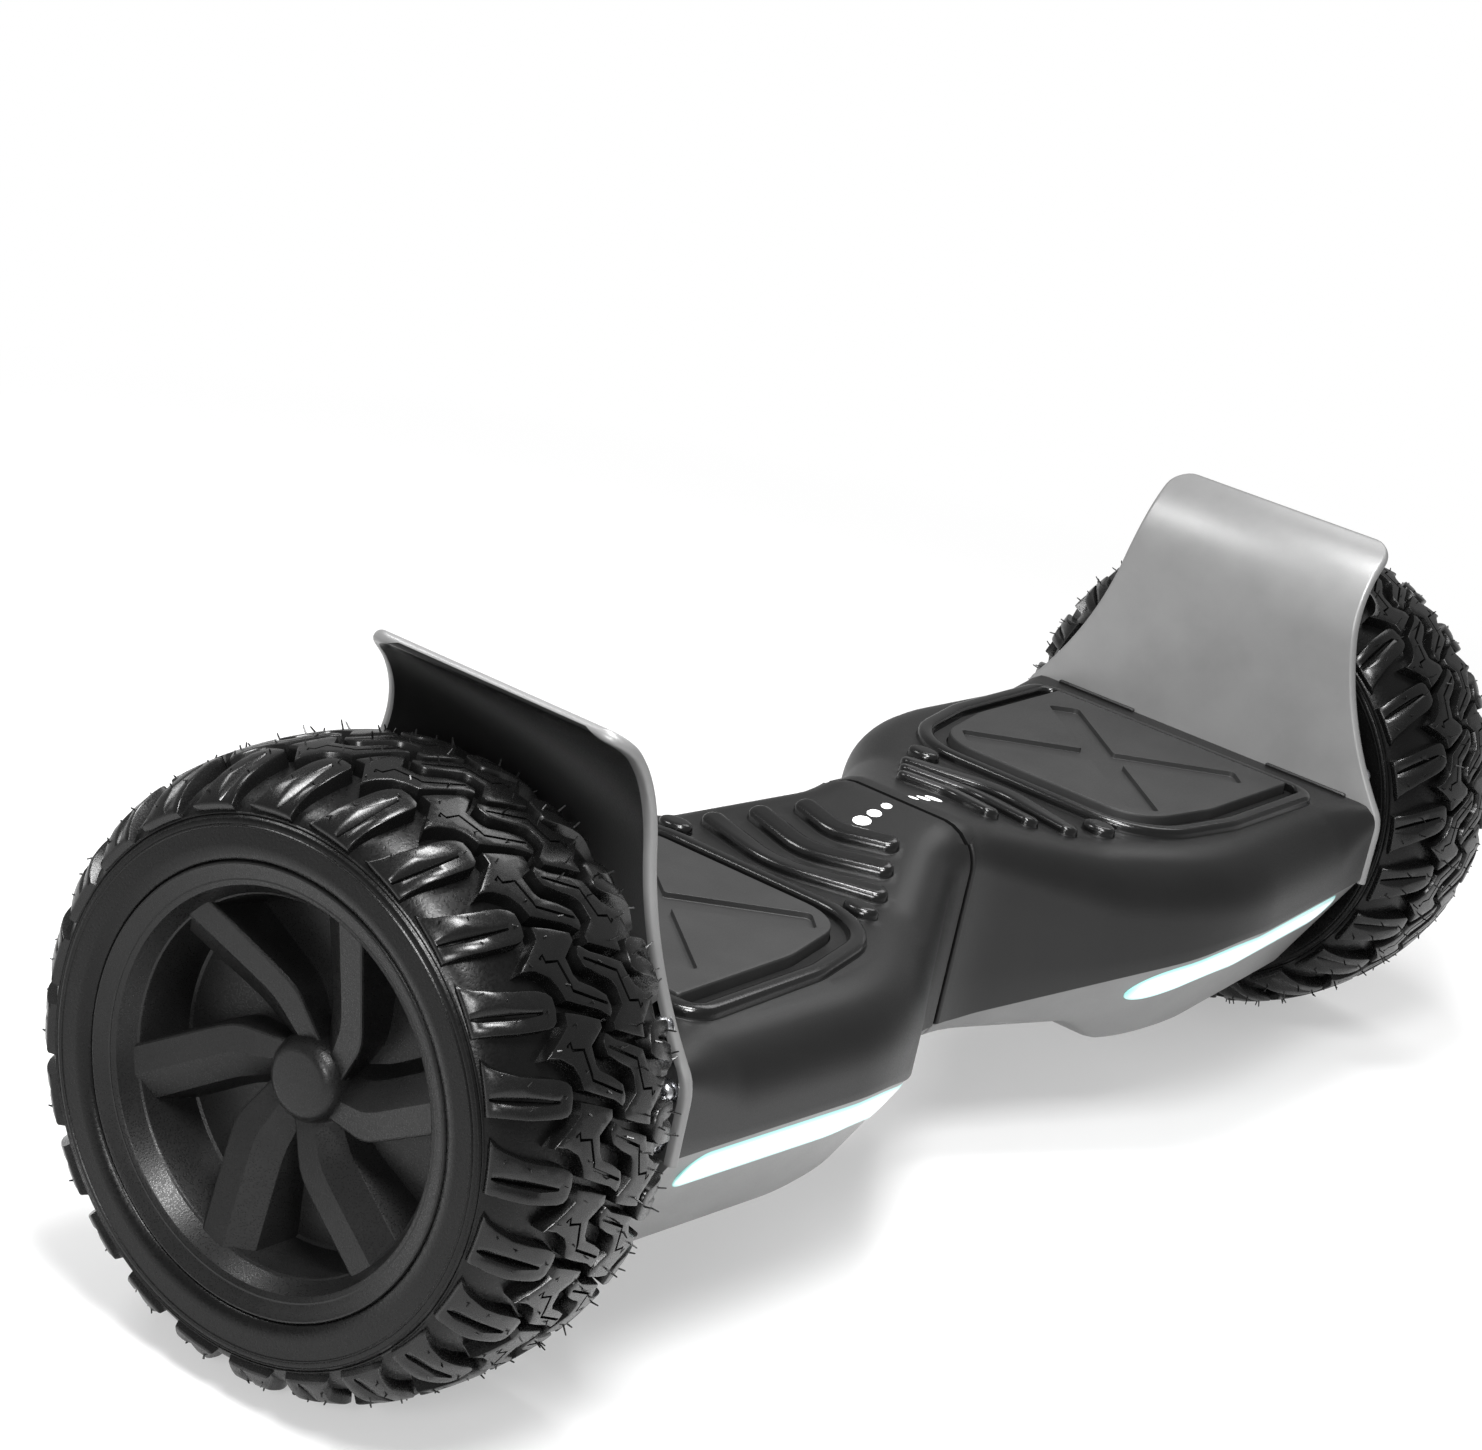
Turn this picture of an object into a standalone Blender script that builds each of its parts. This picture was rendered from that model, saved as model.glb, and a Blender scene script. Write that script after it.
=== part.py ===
"""Off-road self-balancing board: two half decks that twist on a centre pivot, one hub-motor wheel each end.

X runs along the axle, -Y is the front with the headlights, +Z is up. The origin is on the floor under the
pivot. Each right-hand piece is modelled at +X and mirrored to make its left-hand twin.
"""

import math

import bmesh
import bpy
from mathutils import Vector
from mathutils.geometry import delaunay_2d_cdt

# Facets of wheel, pivot, small and tiny round pieces, and loft spacing outside and inside the covers
ROUND_WHEEL = 24
ROUND_PIVOT = 16
ROUND_SMALL = 12
ROUND_TINY = 8
SHELL_SPACING = 0.011
CAVITY_SPACING = 0.018

# Fits
FIT = 0.0003
RUN = 0.0006

# Wheel and tyre
TYRE_RADIUS = 0.105
TYRE_WIDTH = 0.090
BEAD_RADIUS = 0.070
BEAD_WIDTH = 0.080
TREAD_DEPTH = 0.0055
TREAD_PITCHES = 24
TREAD_SHOULDER = 0.035
TREAD_EDGE = 0.0434
SHOULDER_DEPTH = 0.0025
LUG_WIDTH = 0.013
LUG_INNER = 0.018
LUG_NECK = 0.022
LUG_OUTER = 0.0425
HOOK_WIDTH = 0.008
HOOK_TIP = 0.0295
HOOK_ELBOW = 0.0125
HOOK_END = 0.0075
HOOK_TURN = 0.35
CROWN_POWER = 2.6
SIDEWALL_RADIUS = 0.078
TYRE_WALL = 0.007
WHEEL_GAP = 0.0115

# Deck shell
DECK_END = 0.245
SEAM_GAP = 0.0025
SHELL_WALL = 0.0025
WAIST_HALF_DEPTH = 0.037
WAIST_CORNER = 0.014
WAIST_BEND = 0.040
SHOULDER_X = 0.121
SHOULDER_HALF_DEPTH = 0.097
SHOULDER_BEND = 0.100
END_HALF_DEPTH = 0.088
DECK_RISE = 0.0235
END_RISE = 0.022
WAIST_RISE = 0.0375
SLOPE_OUTER = 0.070
WAIST_FILLET = 0.016
DECK_FILLET = 0.024
END_FILLET = 0.009
EDGE_DROP = 0.0105
WAIST_EDGE_DROP = 0.0425
EDGE_CORNER = 0.128
EDGE_BEND = 0.090

# Bottom shell
EDGE_STEP = 0.001
BELLY_DROP = 0.063
WAIST_BELLY_DROP = 0.051
BELLY_STEP_INNER = 0.076
BELLY_STEP_OUTER = 0.096
BELLY_FILLET = 0.010
FLANK_LEAN = 0.56
POST_RADIUS = 0.004

# Foot pad and moulded ribs
PAD_INNER = 0.105
PAD_MARGIN = 0.0293
PAD_HALF_DEPTH = 0.063
PAD_CUT_X = 0.150
PAD_CUT_HALF_DEPTH = 0.047
PAD_CORNER = 0.006
PAD_END_CORNER = 0.0015
PAD_CUT_BEND = 0.060
PAD_PROUD = 0.0045
PAD_TRAVEL = 0.0015
PAD_FLANGE = 0.0025
PAD_FLANGE_THICK = 0.0015
PAD_STEM = 0.004
GRIP_X = 0.1573
GRIP_ARM_LENGTH = 0.118
GRIP_ARM_WIDTH = 0.0135
GRIP_ANGLE = 47
GRIP_DEPTH = 0.0016
GROOVE_WIDTH = 0.0062
RIB_WIDTH = 0.0068
RIB_HEIGHT = 0.004
CHEVRON_WIDTH = 0.0092
CHEVRON_COUNT = 3
CHEVRON_FIRST = 0.0352
CHEVRON_PITCH = 0.0163
CHEVRON_FIRST_SPAN = 0.0186
CHEVRON_SPAN_STEP = 0.0091
CHEVRON_SWEEP = 0.3375
STUD_X = 0.0848
STUD_Y = 0.0418
STUD_LENGTH = 0.014
STUD_WIDTH = 0.0105
TAB_Y = 0.0525
TAB_LENGTH = 0.0385
TAB_THICK = 0.002
TAB_RISE = 0.0014

# Lights
DOT_FIRST = 0.0094
DOT_STEP = 0.0078
DOT_RADIUS = 0.0026
DOT_GROWTH = 0.0008
DOT_COUNT = 3
LENS_INNER = 0.091
LENS_MARGIN = 0.016
LENS_DROP = 0.015
LENS_HEIGHT = 0.0115
LENS_STEPS = 8
LENS_TIP = 0.12
LENS_TAPER = 0.40
LENS_ROUND = 0.125
LENS_END = 0.55
LENS_THICK = 0.0034
LENS_PROUD = 0.0006
LIGHT_BOARD = 0.0016
LAMPS_FIRST = 3
LAMPS_LAST = 7
TAIL_INNER = 0.009
TAIL_OUTER = 0.0385
TAIL_HEIGHT = 0.012
TAIL_PROUD = 0.0012

# Fender
FENDER_THICK = 0.0032
FENDER_OVERHANG = 0.0015
FENDER_LIP = 0.054
FENDER_RISE = 0.1255
FENDER_STRAIGHT = 0.085
FENDER_FLARE = 0.0255
FENDER_CORNER = 0.012
FENDER_SWEEP_RISE = 0.019
FENDER_TUCK = 0.0018
FENDER_TAPER = 2.4
FENDER_STEPS = 5

# Pivot
PIVOT_RADIUS = 0.011
PIVOT_BORE = 0.0058
PIVOT_HALF_LENGTH = 0.046
BUSH_WALL = 0.002
BOSS_WALL = 0.004
BOSS_LENGTH = 0.040
RING_WIDTH = 0.0015
RING_HEIGHT = 0.0035
RING_GROOVE = 0.0007
CABLE_GAP = 0.0005

# Chassis
CHASSIS_INSET = 0.014
CHASSIS_FLOOR = 0.004
CHASSIS_DROP = 0.020
CHASSIS_WALL = 0.003
CHASSIS_WALL_RISE = 0.006
SADDLE_LENGTH = 0.026
SADDLE_HALF_WIDTH = 0.020
BOARD = 0.0016
SENSOR_RISE = 0.005
SENSOR_CLEARANCE = 0.0127
PILLAR = 0.003

# Axle and motor
AXLE_RADIUS = 0.008
AXLE_BORE = 0.0036
AXLE_COLLAR = 0.011
AXLE_NOTCH = 0.0010
AXLE_TAIL = 0.004
CLAMP_WALL = 0.006
BEARING_RADIUS = 0.016
BEARING_WIDTH = 0.0074
DRUM_WALL = 0.0097
MAGNET_WALL = 0.0037
MAGNET_LENGTH = 0.034
STATOR_LENGTH = 0.026
STATOR_TEETH = 12
TOOTH_ROOT = 0.72
TOOTH_NECK = 0.2
TOOTH_CROWN = 0.4
WEB_INNER = 0.0
WEB_THICK = 0.008
RIM_OUTER_LIP = 0.038
COVER_PLATE = 0.0045
BELL_INNER = 0.027
BELL_OUTER = 0.056

# Wheel cover
LIP_RADIUS = 0.0725
LIP_THICK = 0.002
DISH_RADIUS = 0.0645
DISH_FLOOR_RADIUS = 0.059
DISH_FLOOR = 0.0135
BOSS_FACE = 0.025
BOSS_FACE_RADIUS = 0.011
BOSS_BASE_RADIUS = 0.018
SPOKES = 6
SPOKE_ANGLE = -18.5
SPOKE_SKIRT = 0.004
SPOKE_HUB_LEAN = 30
SPOKE_HUB_SPREAD = 35
SPOKE_KINK = 0.027
SPOKE_KINK_OFFSET = 0.0078
SPOKE_END_OFFSET = -0.001
SPOKE_HALF_WIDTH = 0.0097

# Battery, switch and charge port
BATTERY_INNER = 0.118
BATTERY_LENGTH = 0.096
BATTERY_HALF_DEPTH = 0.036
SINK_WIDTH = 0.009
CAPACITOR_RADIUS = 0.005
CAPACITOR_PITCH = 0.015
CAPACITOR_COUNT = 3
CABLE_STRAIGHT = 0.012
CABLE_SAG = 0.004
CABLE_STEPS = 6
PORT_X = 0.056
BUTTON_Y = 0.020
BUTTON_RADIUS = 0.007
BUTTON_PROUD = 0.001
BUTTON_TRAVEL = 0.0012
BUTTON_FLANGE = 0.002
SOCKET_RADIUS = 0.006
SOCKET_WALL = 0.0022
SOCKET_DEPTH = 0.012
CAP_THICK = 0.002
CAP_OVERLAP = 0.0013
CAP_HINGE = 0.0028

# Derived places
AXLE_Z = TYRE_RADIUS
SEAM = SEAM_GAP / 2
FENDER_X = DECK_END + FIT
TYRE_X = FENDER_X + FENDER_THICK + WHEEL_GAP + TYRE_WIDTH / 2
DECK_Z = AXLE_Z + DECK_RISE
END_Z = AXLE_Z + END_RISE
PAD_OUTER = DECK_END - PAD_MARGIN
PAD_MIDDLE = (PAD_INNER + PAD_OUTER) / 2
LENS_OUTER = DECK_END - LENS_MARGIN
FLOOR_Z = AXLE_Z - CHASSIS_DROP + CHASSIS_FLOOR
SADDLE_X = DECK_END - SHELL_WALL - FIT - SADDLE_LENGTH
AXLE_INNER = SADDLE_X - AXLE_TAIL
BOSS_RADIUS = PIVOT_RADIUS + BUSH_WALL + 2 * FIT + BOSS_WALL
WAIST_BELLY = AXLE_Z - WAIST_BELLY_DROP
SENSOR_Z = AXLE_Z + SENSOR_RISE
SENSOR_OUTER = SADDLE_X - SENSOR_CLEARANCE
DRUM_BORE = BEAD_RADIUS - FIT - DRUM_WALL
COVER_X = TYRE_X - BEAD_WIDTH / 2
LIP_X = TYRE_X + BEAD_WIDTH / 2 + FIT + LIP_THICK


def material(name, colour, roughness, metallic=0.0, glow=0.0):
    made = bpy.data.materials.new(name)
    made.use_nodes = True
    shader = made.node_tree.nodes["Principled BSDF"]
    shader.inputs["Base Color"].default_value = (*colour, 1.0)
    shader.inputs["Roughness"].default_value = roughness
    shader.inputs["Metallic"].default_value = metallic
    shader.inputs["Emission Color"].default_value = (*colour, 1.0)
    shader.inputs["Emission Strength"].default_value = glow
    return made


# Outline helpers

def rounded(points, radii, segments=3):
    """An open polyline with its inner corners replaced by tangent arcs."""
    path = [Vector(points[0])]
    for before, corner, after, radius in zip(points, points[1:], points[2:], radii):
        corner = Vector(corner)
        back = (Vector(before) - corner).normalized()
        ahead = (Vector(after) - corner).normalized()
        half = back.angle(ahead) / 2
        reach = radius / math.tan(half)
        centre = corner + (back + ahead).normalized() * (radius / math.sin(half))
        start = corner + back * reach - centre
        sweep = math.pi - 2 * half
        turn = 1 if start.cross(corner + ahead * reach - centre) > 0 else -1
        for step in range(segments + 1):
            angle = turn * sweep * step / segments
            spin = Vector((start.x * math.cos(angle) - start.y * math.sin(angle),
                           start.x * math.sin(angle) + start.y * math.cos(angle)))
            path.append(centre + spin)
    path.append(Vector(points[-1]))
    return path


def reader(path):
    """A function that reads y at x along a path whose x grows."""
    def read(x):
        for a, b in zip(path, path[1:]):
            if x <= b.x:
                share = 0 if b.x == a.x else (x - a.x) / (b.x - a.x)
                return a.y + (b.y - a.y) * max(share, 0)
        return path[-1].y
    return read


def circle(x, y, radius, segments, stretch=1.0):
    return [Vector((x + radius * math.cos(math.tau * i / segments),
                    y + stretch * radius * math.sin(math.tau * i / segments))) for i in range(segments)]


def both_sides(path):
    """Closes a path drawn at +Y with its mirror image at -Y."""
    return [Vector((p.x, p.y)) for p in path] + [Vector((p.x, -p.y)) for p in reversed(path)]


PLAN = rounded([(0, WAIST_HALF_DEPTH), (WAIST_CORNER, WAIST_HALF_DEPTH),
                (SHOULDER_X, SHOULDER_HALF_DEPTH), (DECK_END, END_HALF_DEPTH)],
               [WAIST_BEND, SHOULDER_BEND])
EDGE = rounded([(0, AXLE_Z - WAIST_EDGE_DROP), (WAIST_CORNER, AXLE_Z - WAIST_EDGE_DROP),
                (EDGE_CORNER, AXLE_Z - EDGE_DROP), (DECK_END, AXLE_Z - EDGE_DROP)],
               [WAIST_BEND, EDGE_BEND])
BENDS = [p.x for p in PLAN + EDGE]
half_depth = reader(PLAN)
edge_z = reader(EDGE)
top_z = reader([Vector((0, AXLE_Z + WAIST_RISE)), Vector((SLOPE_OUTER, DECK_Z)), Vector((PAD_OUTER, DECK_Z)),
                Vector((DECK_END, END_Z))])
top_fillet = reader([Vector((0, WAIST_FILLET)), Vector((SLOPE_OUTER, DECK_FILLET)),
                     Vector((PAD_OUTER, DECK_FILLET)), Vector((DECK_END, END_FILLET))])
belly_z = reader([Vector((0, WAIST_BELLY)), Vector((BELLY_STEP_INNER, WAIST_BELLY)),
                  Vector((BELLY_STEP_OUTER, AXLE_Z - BELLY_DROP)), Vector((DECK_END, AXLE_Z - BELLY_DROP))])


def stations(first, last, corners, bends, spacing=SHELL_SPACING):
    """Loft stations from first to last: at every corner, and at the bends that lie a spacing apart."""
    chosen = [first, last] + [x for x in corners if first < x < last]
    for x in bends:
        if first < x < last and min(abs(x - other) for other in chosen) > spacing:
            chosen.append(x)
    return sorted(chosen)


# Solid helpers

def loft(rings):
    """A closed solid through rings with the same number of points."""
    solid = bmesh.new()
    grid = [[solid.verts.new(point) for point in ring] for ring in rings]
    count = len(grid[0])
    for low, high in zip(grid, grid[1:]):
        for i in range(count):
            j = (i + 1) % count
            solid.faces.new((low[i], low[j], high[j], high[i]))
    solid.faces.new(reversed(grid[0]))
    solid.faces.new(grid[-1])
    bmesh.ops.recalc_face_normals(solid, faces=solid.faces)
    return solid


def prism(outline, low, high):
    """An upright prism; low and high are heights or functions of x."""
    def level(height, p):
        return height(p.x) if callable(height) else height
    return loft([[(p.x, p.y, level(low, p)) for p in outline], [(p.x, p.y, level(high, p)) for p in outline]])


def block(x0, x1, y0, y1, z0, z1):
    return prism([Vector((x0, y0)), Vector((x1, y0)), Vector((x1, y1)), Vector((x0, y1))], z0, z1)


def turned(profile, segments):
    """A solid turned about the axle line from a closed (x, radius) profile."""
    solid = bmesh.new()
    rings = []
    for i in range(segments):
        angle = math.tau * (i + 0.5) / segments
        rings.append([solid.verts.new((x, r * math.sin(angle), AXLE_Z + r * math.cos(angle)))
                      for x, r in profile])
    for i, ring in enumerate(rings):
        after = rings[(i + 1) % segments]
        for k in range(len(profile)):
            m = (k + 1) % len(profile)
            if profile[k][1] > 0 or profile[m][1] > 0:
                solid.faces.new((ring[k], ring[m], after[m], after[k]))
    bmesh.ops.remove_doubles(solid, verts=solid.verts, dist=1e-6)
    bmesh.ops.recalc_face_normals(solid, faces=solid.faces)
    return solid


def tube(x0, x1, inner, outer, segments):
    return turned([(x0, inner), (x0, outer), (x1, outer), (x1, inner)], segments)


def rod(x0, x1, radius, segments):
    return turned([(x0, 0), (x0, radius), (x1, radius), (x1, 0)], segments)


def combine(solid, tools, operation):
    """Boolean of a solid with each tool in turn."""
    for tool in tools:
        pair = []
        for source in (solid, tool):
            mesh = bpy.data.meshes.new("blank")
            source.to_mesh(mesh)
            source.free()
            pair.append(bpy.data.objects.new("blank", mesh))
            bpy.context.collection.objects.link(pair[-1])
        change = pair[0].modifiers.new("change", "BOOLEAN")
        change.operation = operation
        change.solver = "EXACT"
        change.object = pair[1]
        solid = bmesh.new()
        solid.from_object(pair[0], bpy.context.evaluated_depsgraph_get())
        for used in pair:
            bpy.data.meshes.remove(used.data)
    return solid


def cut(solid, *tools):
    return combine(solid, tools, "DIFFERENCE")


def join(solid, *tools):
    return combine(solid, tools, "UNION")


def place(name, solid, look, side=1, pivot=(0, 0, 0)):
    """Makes the named object, mirrored in X for the left side, with its origin at its pivot."""
    bmesh.ops.dissolve_degenerate(solid, edges=solid.edges, dist=1e-7)
    if side < 0:
        bmesh.ops.scale(solid, vec=(-1, 1, 1), verts=solid.verts)
        bmesh.ops.reverse_faces(solid, faces=solid.faces)
    origin = Vector((side * pivot[0], pivot[1], pivot[2]))
    bmesh.ops.translate(solid, vec=-origin, verts=solid.verts)
    mesh = bpy.data.meshes.new(name)
    solid.to_mesh(mesh)
    solid.free()
    mesh.materials.append(look)
    mesh.shade_smooth()
    mesh.set_sharp_from_angle(angle=math.radians(35))
    made = bpy.data.objects.new(name, mesh)
    made.location = origin
    bpy.context.collection.objects.link(made)
    return made


# Deck covers

def cover_ring(x, wall, base):
    """The arch of the top cover at one station, shrunk by a wall thickness."""
    depth = half_depth(x) - wall
    top = top_z(x) - wall
    fillet = top_fillet(x) - wall / 2
    arch = rounded([(depth, base), (depth, top), (0, top)], [fillet], 2 if wall else 4)[:-1]
    return [(x, p.x, p.y) for p in arch] + [(x, -p.x, p.y) for p in reversed(arch)]


def pad_corner_points(offset, end):
    """Half of the foot pad's outline with square corners, grown by an offset, and by end at the fender."""
    slant = Vector((PAD_CUT_X - PAD_INNER, PAD_HALF_DEPTH - PAD_CUT_HALF_DEPTH)).normalized()
    shift = offset * (1 - slant.x) / slant.y
    drop = offset * (1 - slant.y) / slant.x
    return [(PAD_INNER - offset, 0), (PAD_INNER - offset, PAD_CUT_HALF_DEPTH + drop),
            (PAD_CUT_X - shift, PAD_HALF_DEPTH + offset), (PAD_OUTER + end, PAD_HALF_DEPTH + offset),
            (PAD_OUTER + end, 0)]


def pad_outline(offset, end, corner):
    """Outline of the foot pad or its frame; corner is the radius beside the fender."""
    radii = [PAD_CORNER + offset, PAD_CUT_BEND + offset, corner]
    half = rounded(pad_corner_points(offset, end), radii, 2)[1:-1]
    return both_sides(half)


def strip(path, width, segments=3):
    """The outline of a round-ended strip of constant width along a path."""
    left = []
    right = []
    for i, point in enumerate(path):
        ahead = (path[min(i + 1, len(path) - 1)] - path[max(i - 1, 0)]).normalized()
        normal = Vector((-ahead.y, ahead.x)) * (width / 2)
        left.append(point + normal)
        right.append(point - normal)

    def cap(centre, start):
        return [centre + Vector((start.x * math.cos(a) + start.y * math.sin(a),
                                 start.y * math.cos(a) - start.x * math.sin(a)))
                for a in (math.pi * k / segments for k in range(1, segments))]
    return left + cap(path[-1], left[-1] - path[-1]) + right[::-1] + cap(path[0], right[0] - path[0])


def rib(outline):
    """A raised rib that follows the slope of the deck."""
    return prism(outline, lambda x: top_z(x) - SHELL_WALL / 2, lambda x: top_z(x) + RIB_HEIGHT)


def chevron(index):
    """Outline of one chevron rib: two straight arms that meet in a round bend, pointing outwards."""
    x = CHEVRON_FIRST + index * CHEVRON_PITCH
    span = CHEVRON_FIRST_SPAN + index * CHEVRON_SPAN_STEP
    bend = rounded([(x, span), (x + span * CHEVRON_SWEEP, 0), (x, -span)], [span], 2)
    return strip(bend, CHEVRON_WIDTH)


def border_rib():
    """The raised frame round the foot pad, beyond a flat groove that ends at the fender."""
    base = DECK_Z - SHELL_WALL / 2
    outer = prism(pad_outline(GROOVE_WIDTH + RIB_WIDTH, RIB_WIDTH, PAD_CORNER), base, DECK_Z + RIB_HEIGHT)
    return cut(outer, prism(pad_outline(GROOVE_WIDTH, FIT, PAD_CORNER), base - FIT, DECK_Z + 2 * RIB_HEIGHT))


def fender_tabs():
    """Two low lips on the deck that hold the foot of the fender."""
    return [block(DECK_END - TAB_THICK, DECK_END, side * TAB_Y - TAB_LENGTH / 2, side * TAB_Y + TAB_LENGTH / 2,
                  END_Z - SHELL_WALL / 2, END_Z + TAB_RISE) for side in (1, -1)]


def dot_places():
    for i in range(DOT_COUNT):
        yield DOT_FIRST + i * DOT_STEP, DOT_RADIUS + i * DOT_GROWTH


def tail_ring(x, grow):
    """Section of the tail light bar, which follows the rear wall of the waist."""
    back = half_depth(x) - SHELL_WALL - LIGHT_BOARD
    front = half_depth(x) + TAIL_PROUD
    low = AXLE_Z - grow
    high = AXLE_Z + TAIL_HEIGHT + grow
    return [(x, back, low), (x, front, low), (x, front, high), (x, back, high)]


def tail_bar(grow):
    places = stations(TAIL_INNER - grow, TAIL_OUTER + grow, [], [p.x for p in PLAN])
    return loft([tail_ring(x, grow) for x in places])


def axle_slot():
    """Cutter for the slot, open downwards, where the axle leaves the deck."""
    x0 = DECK_END - 2 * SHELL_WALL
    x1 = FENDER_X + 2 * FENDER_THICK
    half = AXLE_RADIUS + AXLE_NOTCH
    return join(rod(x0, x1, half, ROUND_SMALL), block(x0, x1, -half, half, AXLE_Z - 2 * half, AXLE_Z))


def top_cover():
    corners = [SLOPE_OUTER, PAD_OUTER]
    outer = loft([cover_ring(x, 0, edge_z(x)) for x in stations(SEAM, DECK_END, corners, BENDS)])
    inside = stations(SEAM + SHELL_WALL, DECK_END - SHELL_WALL, corners, BENDS, CAVITY_SPACING)
    cavity = loft([cover_ring(x, SHELL_WALL, AXLE_Z - BELLY_DROP) for x in inside])
    shell = cut(outer, cavity)
    outlines = [chevron(i) for i in range(CHEVRON_COUNT)]
    outlines += [circle(STUD_X, side * STUD_Y, STUD_WIDTH / 2, ROUND_TINY, STUD_LENGTH / STUD_WIDTH)
                 for side in (1, -1)]
    shell = join(shell, border_rib(), *fender_tabs(), *[rib(outline) for outline in outlines])
    holes = [prism(pad_outline(FIT, FIT, PAD_END_CORNER), DECK_Z - 2 * SHELL_WALL, DECK_Z + RIB_HEIGHT)]
    holes += [prism(circle(x, 0, r + FIT, ROUND_TINY), AXLE_Z, AXLE_Z + 2 * WAIST_RISE)
              for x, r in dot_places()]
    holes.append(rod(0, SEAM + 2 * SHELL_WALL, BOSS_RADIUS + FIT, ROUND_PIVOT))
    holes.append(axle_slot())
    holes.append(tail_bar(FIT))
    return cut(shell, *holes)


def foot_pad():
    """Rubber mat in the cover's opening: a flange catches under the cover, two stems press the sensors."""
    top = DECK_Z + PAD_PROUD
    under = DECK_Z - SHELL_WALL - FIT
    low = under - PAD_FLANGE_THICK
    pad = join(prism(pad_outline(-FIT, -FIT, PAD_END_CORNER), low, top),
               prism(pad_outline(PAD_FLANGE, PAD_FLANGE, PAD_END_CORNER), low, under))
    stem_end = SENSOR_Z + BOARD + PAD_TRAVEL + 2 * FIT
    stems = [prism(circle(PAD_MIDDLE, side * PAD_CUT_HALF_DEPTH / 2, PAD_STEM, ROUND_TINY), stem_end, low + FIT)
             for side in (1, -1)]
    pad = join(pad, *stems)
    middle = Vector((GRIP_X, 0))
    arms = []
    for lean in (1, -1):
        turn = math.radians(lean * GRIP_ANGLE)
        reach = Vector((math.cos(turn), math.sin(turn))) * (GRIP_ARM_LENGTH / 2)
        across = Vector((-reach.y, reach.x)).normalized() * (GRIP_ARM_WIDTH / 2)
        arm = [middle + a * reach + b * across for a, b in ((-1, -1), (1, -1), (1, 1), (-1, 1))]
        arms.append(prism(arm, top - GRIP_DEPTH, top + GRIP_DEPTH))
    return cut(pad, *arms)


def indicator_light():
    """Light pipe under the waist with three round posts that end flush in the cover."""
    x0 = DOT_FIRST - DOT_RADIUS
    x1 = DOT_FIRST + (DOT_COUNT - 1) * (DOT_STEP + DOT_GROWTH) + DOT_RADIUS
    half = DOT_RADIUS + DOT_COUNT * DOT_GROWTH
    web = [Vector((x0, -half)), Vector((x1, -half)), Vector((x1, half)), Vector((x0, half))]
    under = SHELL_WALL + 2 * FIT
    pipe = prism(web, lambda x: top_z(x) - under - LIGHT_BOARD, lambda x: top_z(x) - under)
    posts = [prism(circle(x, 0, r, ROUND_TINY), lambda x: top_z(x) - under - FIT, top_z)
             for x, r in dot_places()]
    return join(pipe, *posts)


def belly_ring(x, wall, rim):
    """Section of the bottom shell: leaning flanks, a round turn and a flat belly."""
    depth = half_depth(x) - EDGE_STEP - wall * math.hypot(1, FLANK_LEAN)
    edge = edge_z(x) - FIT
    low = belly_z(x) + wall
    foot = depth - FLANK_LEAN * (edge - low)
    top = depth + FLANK_LEAN * (rim - edge) if rim > edge else depth
    half = rounded([(top, max(rim, edge)), (foot, low), (0, low)], [BELLY_FILLET - wall / 2], 2)[:-1]
    return [(x, p.x, p.y) for p in half] + [(x, -p.x, p.y) for p in reversed(half)]


def flank_point(x, z, depth):
    """A point on the front flank of the bottom shell, a depth outwards from its surface."""
    steep = math.hypot(1, FLANK_LEAN)
    y = half_depth(x) - EDGE_STEP - FLANK_LEAN * (edge_z(x) - FIT - z)
    return (x, -(y + depth / steep), z - depth * FLANK_LEAN / steep)


def lens_x(step):
    return LENS_INNER + (LENS_OUTER - LENS_INNER) * step / LENS_STEPS


def lens_body(grow, front, back):
    """The headlight blade on the front flank: rounded outer end, inner end drawn to a point."""
    height = reader([Vector((0, LENS_TIP)), Vector((LENS_TAPER, 1)), Vector((1 - LENS_ROUND, 1)),
                     Vector((1, LENS_END))])
    rings = []
    for i in range(LENS_STEPS + 1):
        x = lens_x(i)
        if i in (0, LENS_STEPS):
            x += grow if i else -grow
        tall = height(i / LENS_STEPS) * LENS_HEIGHT / 2
        middle = edge_z(x) - LENS_DROP + (LENS_HEIGHT / 2 - tall) / 2
        rings.append([flank_point(x, middle + side * (tall + grow), depth)
                      for side, depth in ((1, front), (-1, front), (-1, back), (1, back))])
    return loft(rings)


def belly_posts():
    """Screw posts on the belly that carry the chassis floor."""
    for x, y in ((BELLY_STEP_OUTER + 4 * POST_RADIUS, BATTERY_HALF_DEPTH + 3 * POST_RADIUS),
                 (SADDLE_X + 2 * POST_RADIUS, BATTERY_HALF_DEPTH + 2 * POST_RADIUS)):
        yield x, y
        yield x, -y


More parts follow.
